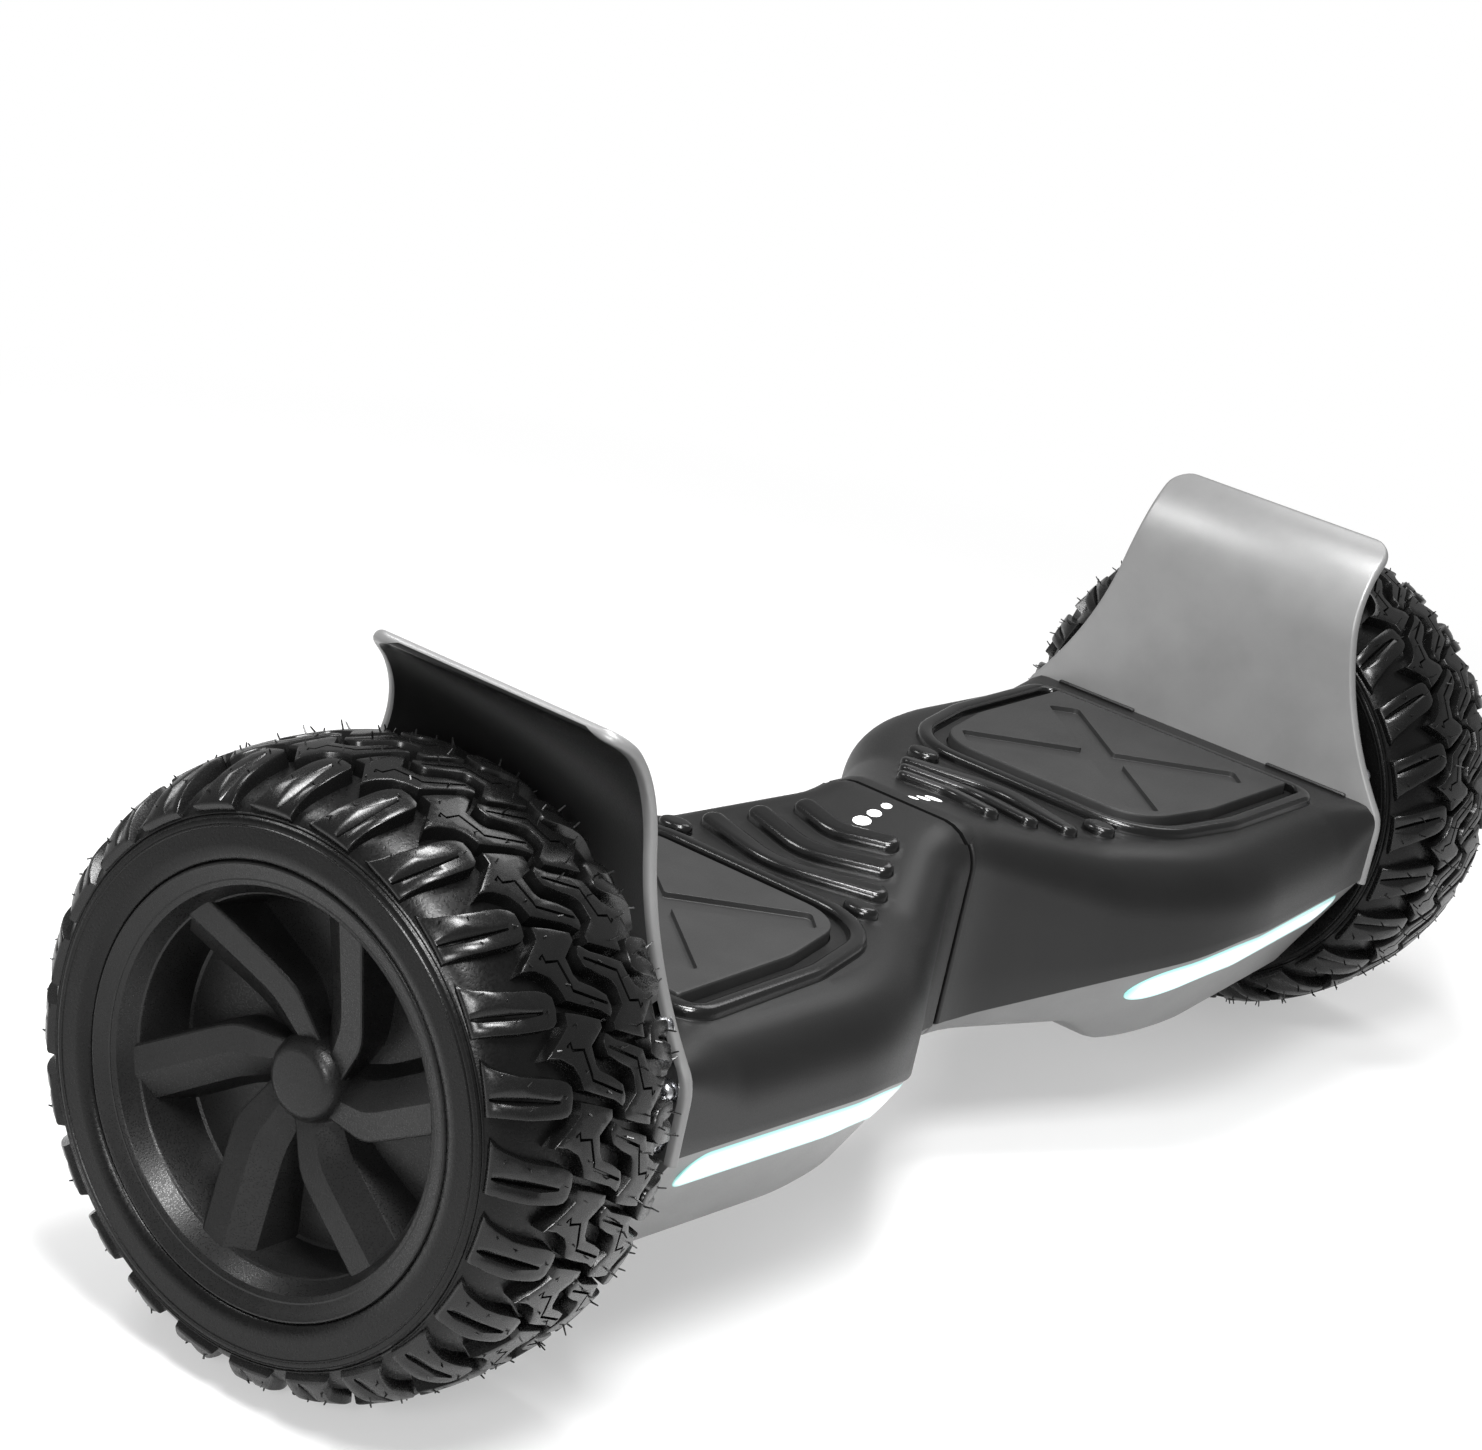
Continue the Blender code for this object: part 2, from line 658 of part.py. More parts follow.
def bottom_cover(with_port):
    corners = [BELLY_STEP_INNER, BELLY_STEP_OUTER]
    outer = loft([belly_ring(x, 0, 0) for x in stations(SEAM, DECK_END, corners, BENDS)])
    inside = stations(SEAM + SHELL_WALL, DECK_END - SHELL_WALL, corners, BENDS, CAVITY_SPACING)
    shell = cut(outer, loft([belly_ring(x, SHELL_WALL, AXLE_Z) for x in inside]))
    posts = [prism(circle(x, y, POST_RADIUS, ROUND_TINY), AXLE_Z - BELLY_DROP + SHELL_WALL / 2,
                   AXLE_Z - CHASSIS_DROP - FIT) for x, y in belly_posts()]
    shell = join(shell, *posts)
    holes = [lens_body(FIT, 2 * LENS_THICK, -2 * LENS_THICK)]
    if with_port:
        below = WAIST_BELLY - SHELL_WALL
        above = WAIST_BELLY + 2 * SHELL_WALL
        holes.append(prism(circle(PORT_X, BUTTON_Y, BUTTON_RADIUS + FIT, ROUND_SMALL), below, above))
        socket = SOCKET_RADIUS + SOCKET_WALL + FIT
        holes.append(prism(circle(PORT_X, -BUTTON_Y, socket, ROUND_SMALL), below, above))
    return cut(shell, *holes)


def headlight_board():
    """Strip of lamps close behind the headlight lens."""
    back = -LENS_THICK - FIT
    half = LENS_HEIGHT / 4
    rings = []
    for x in (lens_x(i) for i in range(LAMPS_FIRST, LAMPS_LAST + 1)):
        middle = edge_z(x) - LENS_DROP
        rings.append([flank_point(x, middle + side * half, depth) for side, depth in
                      ((1, back), (-1, back), (-1, back - LIGHT_BOARD), (1, back - LIGHT_BOARD))])
    return loft(rings)


def fender_profile():
    """Centre line of the fender in (x, z): upright plate, then a flare over the tyre."""
    base = AXLE_Z - EDGE_DROP - FENDER_OVERHANG
    start = AXLE_Z + FENDER_STRAIGHT
    rise = FENDER_RISE - FENDER_STRAIGHT
    sweep = 2 * math.atan2(FENDER_FLARE, rise)
    radius = rise / math.sin(sweep)
    steps = [i / FENDER_STEPS for i in range(1, FENDER_STEPS + 1)]
    yield FENDER_X, base, 0.0
    for share in steps:
        yield FENDER_X, AXLE_Z + FENDER_SWEEP_RISE * (1 - (1 - share) ** 2), 0.0
    for share in steps:
        yield FENDER_X, AXLE_Z + FENDER_SWEEP_RISE + (FENDER_STRAIGHT - FENDER_SWEEP_RISE) * share ** 2, 0.0
    for share in steps:
        angle = sweep * (1 - (1 - share) ** 2)
        yield FENDER_X + radius * (1 - math.cos(angle)), start + radius * math.sin(angle), angle


def fender_half_width(z, left):
    """Half width of the fender at a height; left is the distance to the lip along the plate."""
    broad = END_HALF_DEPTH + FENDER_OVERHANG
    shoulder = AXLE_Z + FENDER_SWEEP_RISE
    if z < shoulder:
        corner = max(0, z - (shoulder - END_FILLET)) / END_FILLET
        return broad - FENDER_TUCK * corner ** 2
    share = (z - shoulder) / (FENDER_RISE - FENDER_SWEEP_RISE)
    narrow = FENDER_LIP + (broad - FENDER_TUCK - FENDER_LIP) * max(0, 1 - share) ** FENDER_TAPER
    if left < FENDER_CORNER:
        narrow -= FENDER_CORNER - math.sqrt(FENDER_CORNER ** 2 - (FENDER_CORNER - left) ** 2)
    return narrow


def fender():
    line = list(fender_profile())
    lengths = [math.hypot(b[0] - a[0], b[1] - a[1]) for a, b in zip(line, line[1:])]
    rings = []
    for i, (x, z, angle) in enumerate(line):
        half = fender_half_width(z, sum(lengths[i:]))
        outward = Vector((math.cos(angle), -math.sin(angle))) * FENDER_THICK
        rings.append([(x, -half, z), (x, half, z), (x + outward.x, half, z + outward.y),
                      (x + outward.x, -half, z + outward.y)])
    return cut(loft(rings), axle_slot())


# Chassis and pivot

def chassis_outline(inset):
    inner = SEAM + SHELL_WALL + FIT + inset
    outer = DECK_END - SHELL_WALL - FIT - inset
    shrink = CHASSIS_INSET + inset
    waist = WAIST_HALF_DEPTH - shrink
    shoulder = SHOULDER_HALF_DEPTH - shrink - CHASSIS_WALL
    return both_sides([Vector((inner, waist)), Vector((WAIST_CORNER, waist)), Vector((SHOULDER_X, shoulder)),
                       Vector((outer, END_HALF_DEPTH - shrink))])


def pillar_places():
    """Pillars that carry the foot sensor board."""
    for x in (PAD_INNER + 4 * PILLAR, SENSOR_OUTER - 2 * PILLAR):
        for side in (1, -1):
            yield x, side * PAD_CUT_HALF_DEPTH


def chassis():
    """Cast tray with a pivot boss at the seam, an axle saddle at the end and pillars for the sensor board."""
    under = AXLE_Z - CHASSIS_DROP
    tray = cut(prism(chassis_outline(0), under, AXLE_Z + CHASSIS_WALL_RISE),
               prism(chassis_outline(CHASSIS_WALL), FLOOR_Z, AXLE_Z + 2 * CHASSIS_DROP))
    half = SADDLE_HALF_WIDTH
    saddle = block(SADDLE_X, SADDLE_X + SADDLE_LENGTH, -half, half, under, AXLE_Z - FIT)
    pillars = [prism(circle(x, y, PILLAR, ROUND_TINY), FLOOR_Z - FIT, SENSOR_Z - FIT)
               for x, y in pillar_places()]
    tray = cut(join(tray, saddle, *pillars), rod(0, BOSS_LENGTH, BOSS_RADIUS - BOSS_WALL / 2, ROUND_PIVOT))
    tray = join(tray, tube(FIT, BOSS_LENGTH, BOSS_RADIUS - BOSS_WALL, BOSS_RADIUS, ROUND_PIVOT))
    seat = rod(SADDLE_X - FIT, DECK_END, AXLE_RADIUS + FIT, ROUND_SMALL)
    gap = block(SADDLE_X - FIT, DECK_END, -half - FIT, half + FIT, AXLE_Z - FIT, DECK_Z)
    return cut(tray, seat, gap)


def axle_clamp():
    half = SADDLE_HALF_WIDTH
    rise = AXLE_RADIUS + CLAMP_WALL
    arch = rounded([(half, AXLE_Z + FIT), (half, AXLE_Z + rise), (0, AXLE_Z + rise)], [CLAMP_WALL], 3)[:-1]
    section = [(p.x, p.y) for p in arch] + [(-p.x, p.y) for p in reversed(arch)]
    x0 = SADDLE_X + FIT
    x1 = SADDLE_X + SADDLE_LENGTH - FIT
    cap = loft([[(x, y, z) for y, z in section] for x in (x0, x1)])
    return cut(cap, rod(x0 - FIT, x1 + FIT, AXLE_RADIUS + FIT, ROUND_SMALL))


def pivot_shaft():
    groove = BOSS_LENGTH + 2 * FIT
    far = groove + RING_WIDTH + FIT
    deep = PIVOT_RADIUS - RING_GROOVE
    outline = [(PIVOT_HALF_LENGTH, PIVOT_BORE), (PIVOT_HALF_LENGTH, PIVOT_RADIUS), (far, PIVOT_RADIUS),
               (far, deep), (groove - FIT, deep), (groove - FIT, PIVOT_RADIUS)]
    return turned(outline + [(-x, r) for x, r in reversed(outline)], ROUND_SMALL)


def pivot_bush():
    return tube(2 * FIT, BOSS_LENGTH, PIVOT_RADIUS + FIT, PIVOT_RADIUS + FIT + BUSH_WALL, ROUND_PIVOT)


def retaining_ring():
    start = BOSS_LENGTH + 2 * FIT
    inner = PIVOT_RADIUS - RING_GROOVE + FIT
    return tube(start, start + RING_WIDTH, inner, inner + RING_HEIGHT, ROUND_SMALL)


def cross_cable():
    """Sheathed cable through the hollow shaft, with a plug at each end."""
    radius = PIVOT_BORE - CABLE_GAP
    end = PIVOT_HALF_LENGTH + 2 * FIT
    plug = end + 2 * PIVOT_RADIUS
    outline = [(plug, 0), (plug, PIVOT_BORE + CABLE_GAP), (end, PIVOT_BORE + CABLE_GAP), (end, radius)]
    return turned(outline + [(-x, r) for x, r in reversed(outline)], ROUND_SMALL)


def sensor_board():
    """Foot sensor circuit board, clear of the axle saddle, with an optical gate beside each pad stem."""
    margin = 2 * PILLAR
    board = block(PAD_INNER + margin, SENSOR_OUTER, -PAD_CUT_HALF_DEPTH - margin,
                  PAD_CUT_HALF_DEPTH + margin, SENSOR_Z, SENSOR_Z + BOARD)
    gates = []
    for side in (1, -1):
        for across in (1, -1):
            x = PAD_MIDDLE + across * (PAD_STEM + RUN + PILLAR)
            y = side * PAD_CUT_HALF_DEPTH / 2
            gates.append(block(x - PILLAR, x + PILLAR, y - PILLAR, y + PILLAR, SENSOR_Z + BOARD / 2,
                               SENSOR_Z + BOARD + PAD_STEM))
    return join(board, *gates)


# Wheel

def axle():
    """Fixed motor axle with a blind cable bore and a collar between deck and wheel."""
    end = TYRE_X + WEB_INNER + WEB_THICK - 2 * FIT
    collar0 = FENDER_X + FENDER_THICK + FIT
    collar1 = COVER_X - WHEEL_GAP / 2
    bore_end = TYRE_X - STATOR_LENGTH
    return turned([(end, 0), (end, AXLE_RADIUS), (collar1, AXLE_RADIUS), (collar1, AXLE_COLLAR),
                   (collar0, AXLE_COLLAR), (collar0, AXLE_RADIUS), (AXLE_INNER, AXLE_RADIUS),
                   (AXLE_INNER, AXLE_BORE), (bore_end, AXLE_BORE), (bore_end, 0)], ROUND_SMALL)


def stator():
    """Toothed lamination stack on the axle."""
    tip = DRUM_BORE - MAGNET_WALL - FIT - RUN
    root = tip * TOOTH_ROOT
    neck = math.tau / STATOR_TEETH * TOOTH_NECK
    crown = math.tau / STATOR_TEETH * TOOTH_CROWN
    outline = []
    for i in range(STATOR_TEETH):
        middle = math.tau * i / STATOR_TEETH
        for radius, turn in ((root, -neck), (tip, -crown), (tip, crown), (root, neck)):
            outline.append((radius * math.sin(middle + turn), AXLE_Z + radius * math.cos(middle + turn)))
    end = TYRE_X + WEB_INNER - 2 * RUN
    stack = loft([[(x, y, z) for y, z in outline] for x in (end - STATOR_LENGTH, end)])
    return cut(stack, rod(end - 2 * STATOR_LENGTH, end + STATOR_LENGTH, AXLE_RADIUS + FIT, ROUND_SMALL))


def magnet_ring():
    end = TYRE_X + WEB_INNER - FIT
    return tube(end - MAGNET_LENGTH, end, DRUM_BORE - FIT - MAGNET_WALL, DRUM_BORE - FIT, ROUND_WHEEL)


def wheel_rim():
    """Hub-motor drum: tyre seat outside, magnet seat inside, a web with the outer bearing seat."""
    seat = BEAD_RADIUS - FIT
    web = TYRE_X + WEB_INNER
    flange = COVER_X - FIT
    step = COVER_X + COVER_PLATE / 2
    back = flange - COVER_PLATE / 2
    bearing = BEARING_RADIUS + FIT
    return turned([(back, BEAD_RADIUS + LIP_THICK), (flange, BEAD_RADIUS + LIP_THICK), (flange, seat),
                   (TYRE_X + RIM_OUTER_LIP, seat), (TYRE_X + RIM_OUTER_LIP, DISH_RADIUS + LIP_THICK),
                   (web + WEB_THICK, DISH_RADIUS + LIP_THICK), (web + WEB_THICK, bearing), (web, bearing),
                   (web, DRUM_BORE), (step, DRUM_BORE), (step, seat - LIP_THICK), (back, seat - LIP_THICK)],
                  ROUND_WHEEL)


def motor_side_cover():
    """Disc that closes the drum towards the deck and seats the inner bearing."""
    seat = BEAD_RADIUS - FIT - LIP_THICK - FIT
    inside = COVER_X + COVER_PLATE / 2 - FIT
    outside = inside - COVER_PLATE
    bearing = BEARING_RADIUS + FIT
    hub = outside + BEARING_WIDTH + 2 * FIT
    wall = BEARING_RADIUS + 2 * LIP_THICK
    return turned([(outside, bearing), (outside, wall), (outside - LIP_THICK, BELL_INNER),
                   (outside - LIP_THICK, BELL_OUTER), (outside, seat), (inside, seat), (inside, wall),
                   (hub, wall), (hub, bearing)], ROUND_WHEEL)


def wheel_bearing(start):
    return tube(start, start + BEARING_WIDTH, AXLE_RADIUS + FIT, BEARING_RADIUS, ROUND_SMALL)


def spoke_edge(side):
    """One edge of a spoke that lies along the first axis: on the boss, at the kink and at the rim."""
    lean = math.radians(SPOKE_HUB_LEAN + side * SPOKE_HUB_SPREAD)
    hub = BOSS_FACE_RADIUS + 2 * LIP_THICK
    return [Vector((hub * math.cos(lean), hub * math.sin(lean))),
            Vector((SPOKE_KINK - side * LIP_THICK, SPOKE_KINK_OFFSET + side * SPOKE_HALF_WIDTH)),
            Vector((DISH_RADIUS - LIP_THICK / 2, SPOKE_END_OFFSET + side * SPOKE_HALF_WIDTH))]


def spoke(index):
    """One kinked turbine spoke: a flat top that rises to the rim and a skirt on its trailing side."""
    turn = math.radians(SPOKE_ANGLE + 360 / SPOKES * index)
    floor = TYRE_X + DISH_FLOOR - LIP_THICK
    boss = TYRE_X + BOSS_FACE
    levels = [boss - LIP_THICK, boss + LIP_THICK, LIP_X - 4 * LIP_THICK]
    corners = list(zip(spoke_edge(1), levels, [0, 0, 0]))
    corners += reversed(list(zip(spoke_edge(-1), levels, [SPOKE_SKIRT, SPOKE_SKIRT, SPOKE_SKIRT])))
    foot = []
    top = []
    for corner, level, skirt in corners:
        for point, x, ring in ((corner - Vector((0, skirt)), floor, foot), (corner, level, top)):
            ring.append((x, point.x * math.cos(turn) - point.y * math.sin(turn),
                         AXLE_Z + point.x * math.sin(turn) + point.y * math.cos(turn)))
    return loft([foot, top])


def wheel_cover():
    """Moulded cover: lip over the tyre bead, dished floor, conical boss and kinked spokes."""
    back = TYRE_X + WEB_INNER + WEB_THICK + FIT
    seat = DISH_RADIUS + LIP_THICK - FIT
    lip = LIP_X
    floor = TYRE_X + DISH_FLOOR
    boss = TYRE_X + BOSS_FACE
    dish = turned([(boss, 0), (boss, BOSS_FACE_RADIUS), (floor, BOSS_BASE_RADIUS), (floor, DISH_FLOOR_RADIUS),
                   (lip - 2 * LIP_THICK, DISH_RADIUS), (lip, LIP_RADIUS - 2 * LIP_THICK),
                   (lip, LIP_RADIUS - LIP_THICK), (lip - LIP_THICK, LIP_RADIUS), (lip - LIP_THICK, seat),
                   (back, seat), (back, 0)], ROUND_WHEEL)
    return join(dish, *[spoke(i) for i in range(SPOKES)])


# Tyre

def carcass(w):
    """Radius of the tyre body at a distance from its mid-plane, and the outward normal there."""
    crown = TYRE_RADIUS - TREAD_DEPTH
    half = TYRE_WIDTH / 2

    def radius(a):
        rise = max(0, 1 - abs(a / half) ** CROWN_POWER) ** (1 / CROWN_POWER)
        return SIDEWALL_RADIUS + (crown - SIDEWALL_RADIUS) * rise
    near = half * 1e-3
    slope = (radius(w + near) - radius(w - near)) / (2 * near)
    steep = math.hypot(1, slope)
    return radius(w), -slope / steep, 1 / steep


def tread_point(along, w, height):
    """A point on the tread: along is in pitches, height is measured off the tyre body."""
    radius, lean, up = carcass(w)
    angle = math.tau * along / TREAD_PITCHES
    reach = radius + height * up
    return (TYRE_X + w + height * lean, reach * math.sin(angle), AXLE_Z - reach * math.cos(angle))


def lug_outlines(pitch):
    """Outlines of one shoulder lug and one hooked crown lug, for the outer half of the tread."""
    half = LUG_WIDTH / 2
    shoulder = [Vector((-half, LUG_NECK)), Vector((0, LUG_INNER)), Vector((half, LUG_NECK)),
                Vector((half, LUG_OUTER)), Vector((-half, LUG_OUTER))]
    path = [Vector((pitch / 2, HOOK_TIP)), Vector((pitch * HOOK_TURN, HOOK_ELBOW)),
            Vector((pitch * (HOOK_TURN + 0.5), HOOK_END))]
    return [shoulder, strip(path, HOOK_WIDTH, 1)[::-1]]


tread_depth = reader([Vector((0, TREAD_DEPTH)), Vector((TREAD_SHOULDER, TREAD_DEPTH)),
                      Vector((TYRE_WIDTH / 2, SHOULDER_DEPTH))])


def tyre():
    """Pneumatic tyre, open towards the rim, with shoulder lugs and hooked crown lugs."""
    half = TYRE_WIDTH / 2
    scale = TYRE_RADIUS * math.tau / TREAD_PITCHES
    columns = 2 * TREAD_PITCHES
    points = []
    links = []
    lugs = []
    for w in (-TREAD_EDGE, TREAD_EDGE):
        start = len(points)
        points += [Vector((i / 2 * scale, w)) for i in range(columns + 1)]
        links += [(start + i, start + i + 1) for i in range(columns)]
    for w in (-TREAD_SHOULDER, TREAD_SHOULDER):
        links.append((len(points), len(points) + 1))
        points += [Vector((0, w)), Vector((TREAD_PITCHES * scale, w))]
    links += [(end, end + columns + 1) for end in (0, columns)]
    for pitch in range(-1, TREAD_PITCHES + 1):
        for side, phase in ((1, 0.25), (-1, 0.75)):
            for outline in lug_outlines(scale):
                lugs.append(range(len(points), len(points) + len(outline)))
                points += [Vector(((pitch + phase) * scale + side * p.x, side * p.y)) for p in outline]
    spots, _, faces, _, _, owners = delaunay_2d_cdt(points, links, [list(lug) for lug in lugs], 0, 1e-7)
    solid = bmesh.new()
    made = {}

    def vertex(index, lifted):
        if (index, lifted) not in made:
            x, w = spots[index]
            height = tread_depth(abs(w)) if lifted else 0
            made[index, lifted] = solid.verts.new(tread_point(x / scale, w, height))
        return made[index, lifted]
    borders = {}
    for face, owner in zip(faces, owners):
        middle = sum(spots[i].x for i in face) / 3
        if 0 < middle < TREAD_PITCHES * scale:
            solid.faces.new([vertex(i, bool(owner)) for i in face])
            for a, b in zip(face, face[1:] + face[:1]):
                borders.setdefault((min(a, b), max(a, b)), set()).add(bool(owner))
    for (a, b), kinds in borders.items():
        if len(kinds) == 2:
            solid.faces.new((vertex(a, False), vertex(b, False), vertex(b, True), vertex(a, True)))
    bead = BEAD_WIDTH / 2
    inside = bead - TYRE_WALL / 2
    edge = (TREAD_EDGE, carcass(TREAD_EDGE)[0])
    cavity = (inside - TYRE_WALL / 2, TYRE_RADIUS - TREAD_DEPTH - 2 * TYRE_WALL)
    wall = [edge, (half, SIDEWALL_RADIUS), (bead, LIP_RADIUS + RUN), (bead, BEAD_RADIUS),
            (inside, BEAD_RADIUS), cavity]
    profile = wall + [(-w, r) for w, r in reversed(wall)]
    rings = []
    for i in range(columns):
        angle = math.tau * i / columns
        rings.append([solid.verts.new((TYRE_X + w, r * math.sin(angle), AXLE_Z - r * math.cos(angle)))
                      for w, r in profile])
    for i, ring in enumerate(rings):
        after = rings[(i + 1) % columns]
        for k in range(len(profile) - 1):
            solid.faces.new((ring[k], ring[k + 1], after[k + 1], after[k]))
    bmesh.ops.remove_doubles(solid, verts=solid.verts, dist=2e-6)
    bmesh.ops.recalc_face_normals(solid, faces=solid.faces)
    return solid


# Electrics

def battery_pack():
    """Shrink-wrapped cell pack on the belly of the right half."""
    low = AXLE_Z - BELLY_DROP + SHELL_WALL + FIT
    high = AXLE_Z - CHASSIS_DROP - FIT
    round_edge = 2 * CHASSIS_WALL
    section = rounded([(0, low), (BATTERY_HALF_DEPTH, low), (BATTERY_HALF_DEPTH, high), (0, high)],
                      [round_edge, round_edge], 3)[1:-1]
    ring = [(p.x, p.y) for p in section] + [(-p.x, p.y) for p in reversed(section)]
    return loft([[(x, y, z) for y, z in ring] for x in (BATTERY_INNER, BATTERY_INNER + BATTERY_LENGTH)])


def main_board():
    """Motor controller board on the chassis floor: heat sink bars, capacitors and a cable socket."""
    x0 = PAD_INNER
    x1 = SADDLE_X - 2 * CHASSIS_WALL
    half = WAIST_HALF_DEPTH
    low = FLOOR_Z + FIT
    high = AXLE_Z - CHASSIS_WALL
    board = block(x0, x1, -half, half, low, low + BOARD)
    sinks = [block(x0 + SINK_WIDTH, x1 - SINK_WIDTH, y, y + SINK_WIDTH, low + BOARD / 2, high)
             for y in (SINK_WIDTH - half, half - 2 * SINK_WIDTH)]
    capacitors = [prism(circle(x0 + CAPACITOR_PITCH * (i + 1), SINK_WIDTH, CAPACITOR_RADIUS, ROUND_TINY),
                        low + BOARD / 2, high) for i in range(CAPACITOR_COUNT)]
    return join(board, *sinks, *capacitors)


def motor_cable(inner):
    """Motor lead from the axle's bore, with an easy sag to its plug."""
    start = AXLE_INNER - CABLE_STRAIGHT
    route = [(AXLE_INNER + CABLE_STRAIGHT, 0), (start, 0)]
    for i in range(1, CABLE_STEPS + 1):
        share = i / CABLE_STEPS
        route.append((start + (inner - start) * share, CABLE_SAG * math.sin(math.pi * share) ** 2))
    radius = AXLE_BORE - FIT
    section = circle(0, AXLE_Z, radius, ROUND_TINY)
    return loft([[(x, p.x, p.y - drop) for p in section] for x, drop in route])


def power_button():
    """Push button through the belly, held by a flange inside."""
    low = WAIST_BELLY - BUTTON_PROUD
    inside = WAIST_BELLY + SHELL_WALL + FIT
    disc = circle(PORT_X, BUTTON_Y, BUTTON_RADIUS + BUTTON_FLANGE, ROUND_SMALL)
    button = prism(circle(PORT_X, BUTTON_Y, BUTTON_RADIUS, ROUND_SMALL), low, inside + FIT)
    return join(button, prism(disc, inside, inside + PAD_FLANGE_THICK))


def power_switch():
    """Switch body behind the button, hung from the chassis floor."""
    low = WAIST_BELLY + SHELL_WALL + 2 * FIT + PAD_FLANGE_THICK + BUTTON_TRAVEL
    half = BUTTON_RADIUS
    high = AXLE_Z - CHASSIS_DROP - FIT
    return block(PORT_X - half, PORT_X + half, BUTTON_Y - half, BUTTON_Y + half, low, high)


def charge_port():
    """Round socket in the belly, open downwards, with a flange inside the shell."""
    outer = SOCKET_RADIUS + SOCKET_WALL
    inside = WAIST_BELLY + SHELL_WALL + FIT
    top = WAIST_BELLY + SOCKET_DEPTH
    disc = circle(PORT_X, -BUTTON_Y, outer + BUTTON_FLANGE, ROUND_SMALL)
    body = prism(circle(PORT_X, -BUTTON_Y, outer, ROUND_SMALL), WAIST_BELLY, top + SOCKET_WALL)
    hole = prism(circle(PORT_X, -BUTTON_Y, SOCKET_RADIUS, ROUND_SMALL), WAIST_BELLY - FIT, top)
    return cut(join(body, prism(disc, inside, inside + PAD_FLANGE_THICK)), hole)


def cap_hinge():
    """Hinge line of the charge port cap, along Y."""
    return PORT_X + SOCKET_RADIUS + SOCKET_WALL + CAP_OVERLAP + CAP_HINGE, WAIST_BELLY - FIT - CAP_THICK / 2


def charge_cap():
    """Rubber flap that closes the charge port, with its hinge barrel beside the port."""
    reach = SOCKET_RADIUS + SOCKET_WALL + CAP_OVERLAP
    x, z = cap_hinge()
    half = CAP_THICK / 2
    y0 = -BUTTON_Y - reach / 2
    y1 = -BUTTON_Y + reach / 2
    flap = prism(circle(PORT_X, -BUTTON_Y, reach, ROUND_SMALL), z - half, z + half)
    strap = block(PORT_X, x, y0, y1, z - half, z + half)
    barrel = loft([[(p.x, y, p.y) for p in circle(x, z, half, ROUND_SMALL)] for y in (y0, y1)])
    return join(flap, strap, barrel)


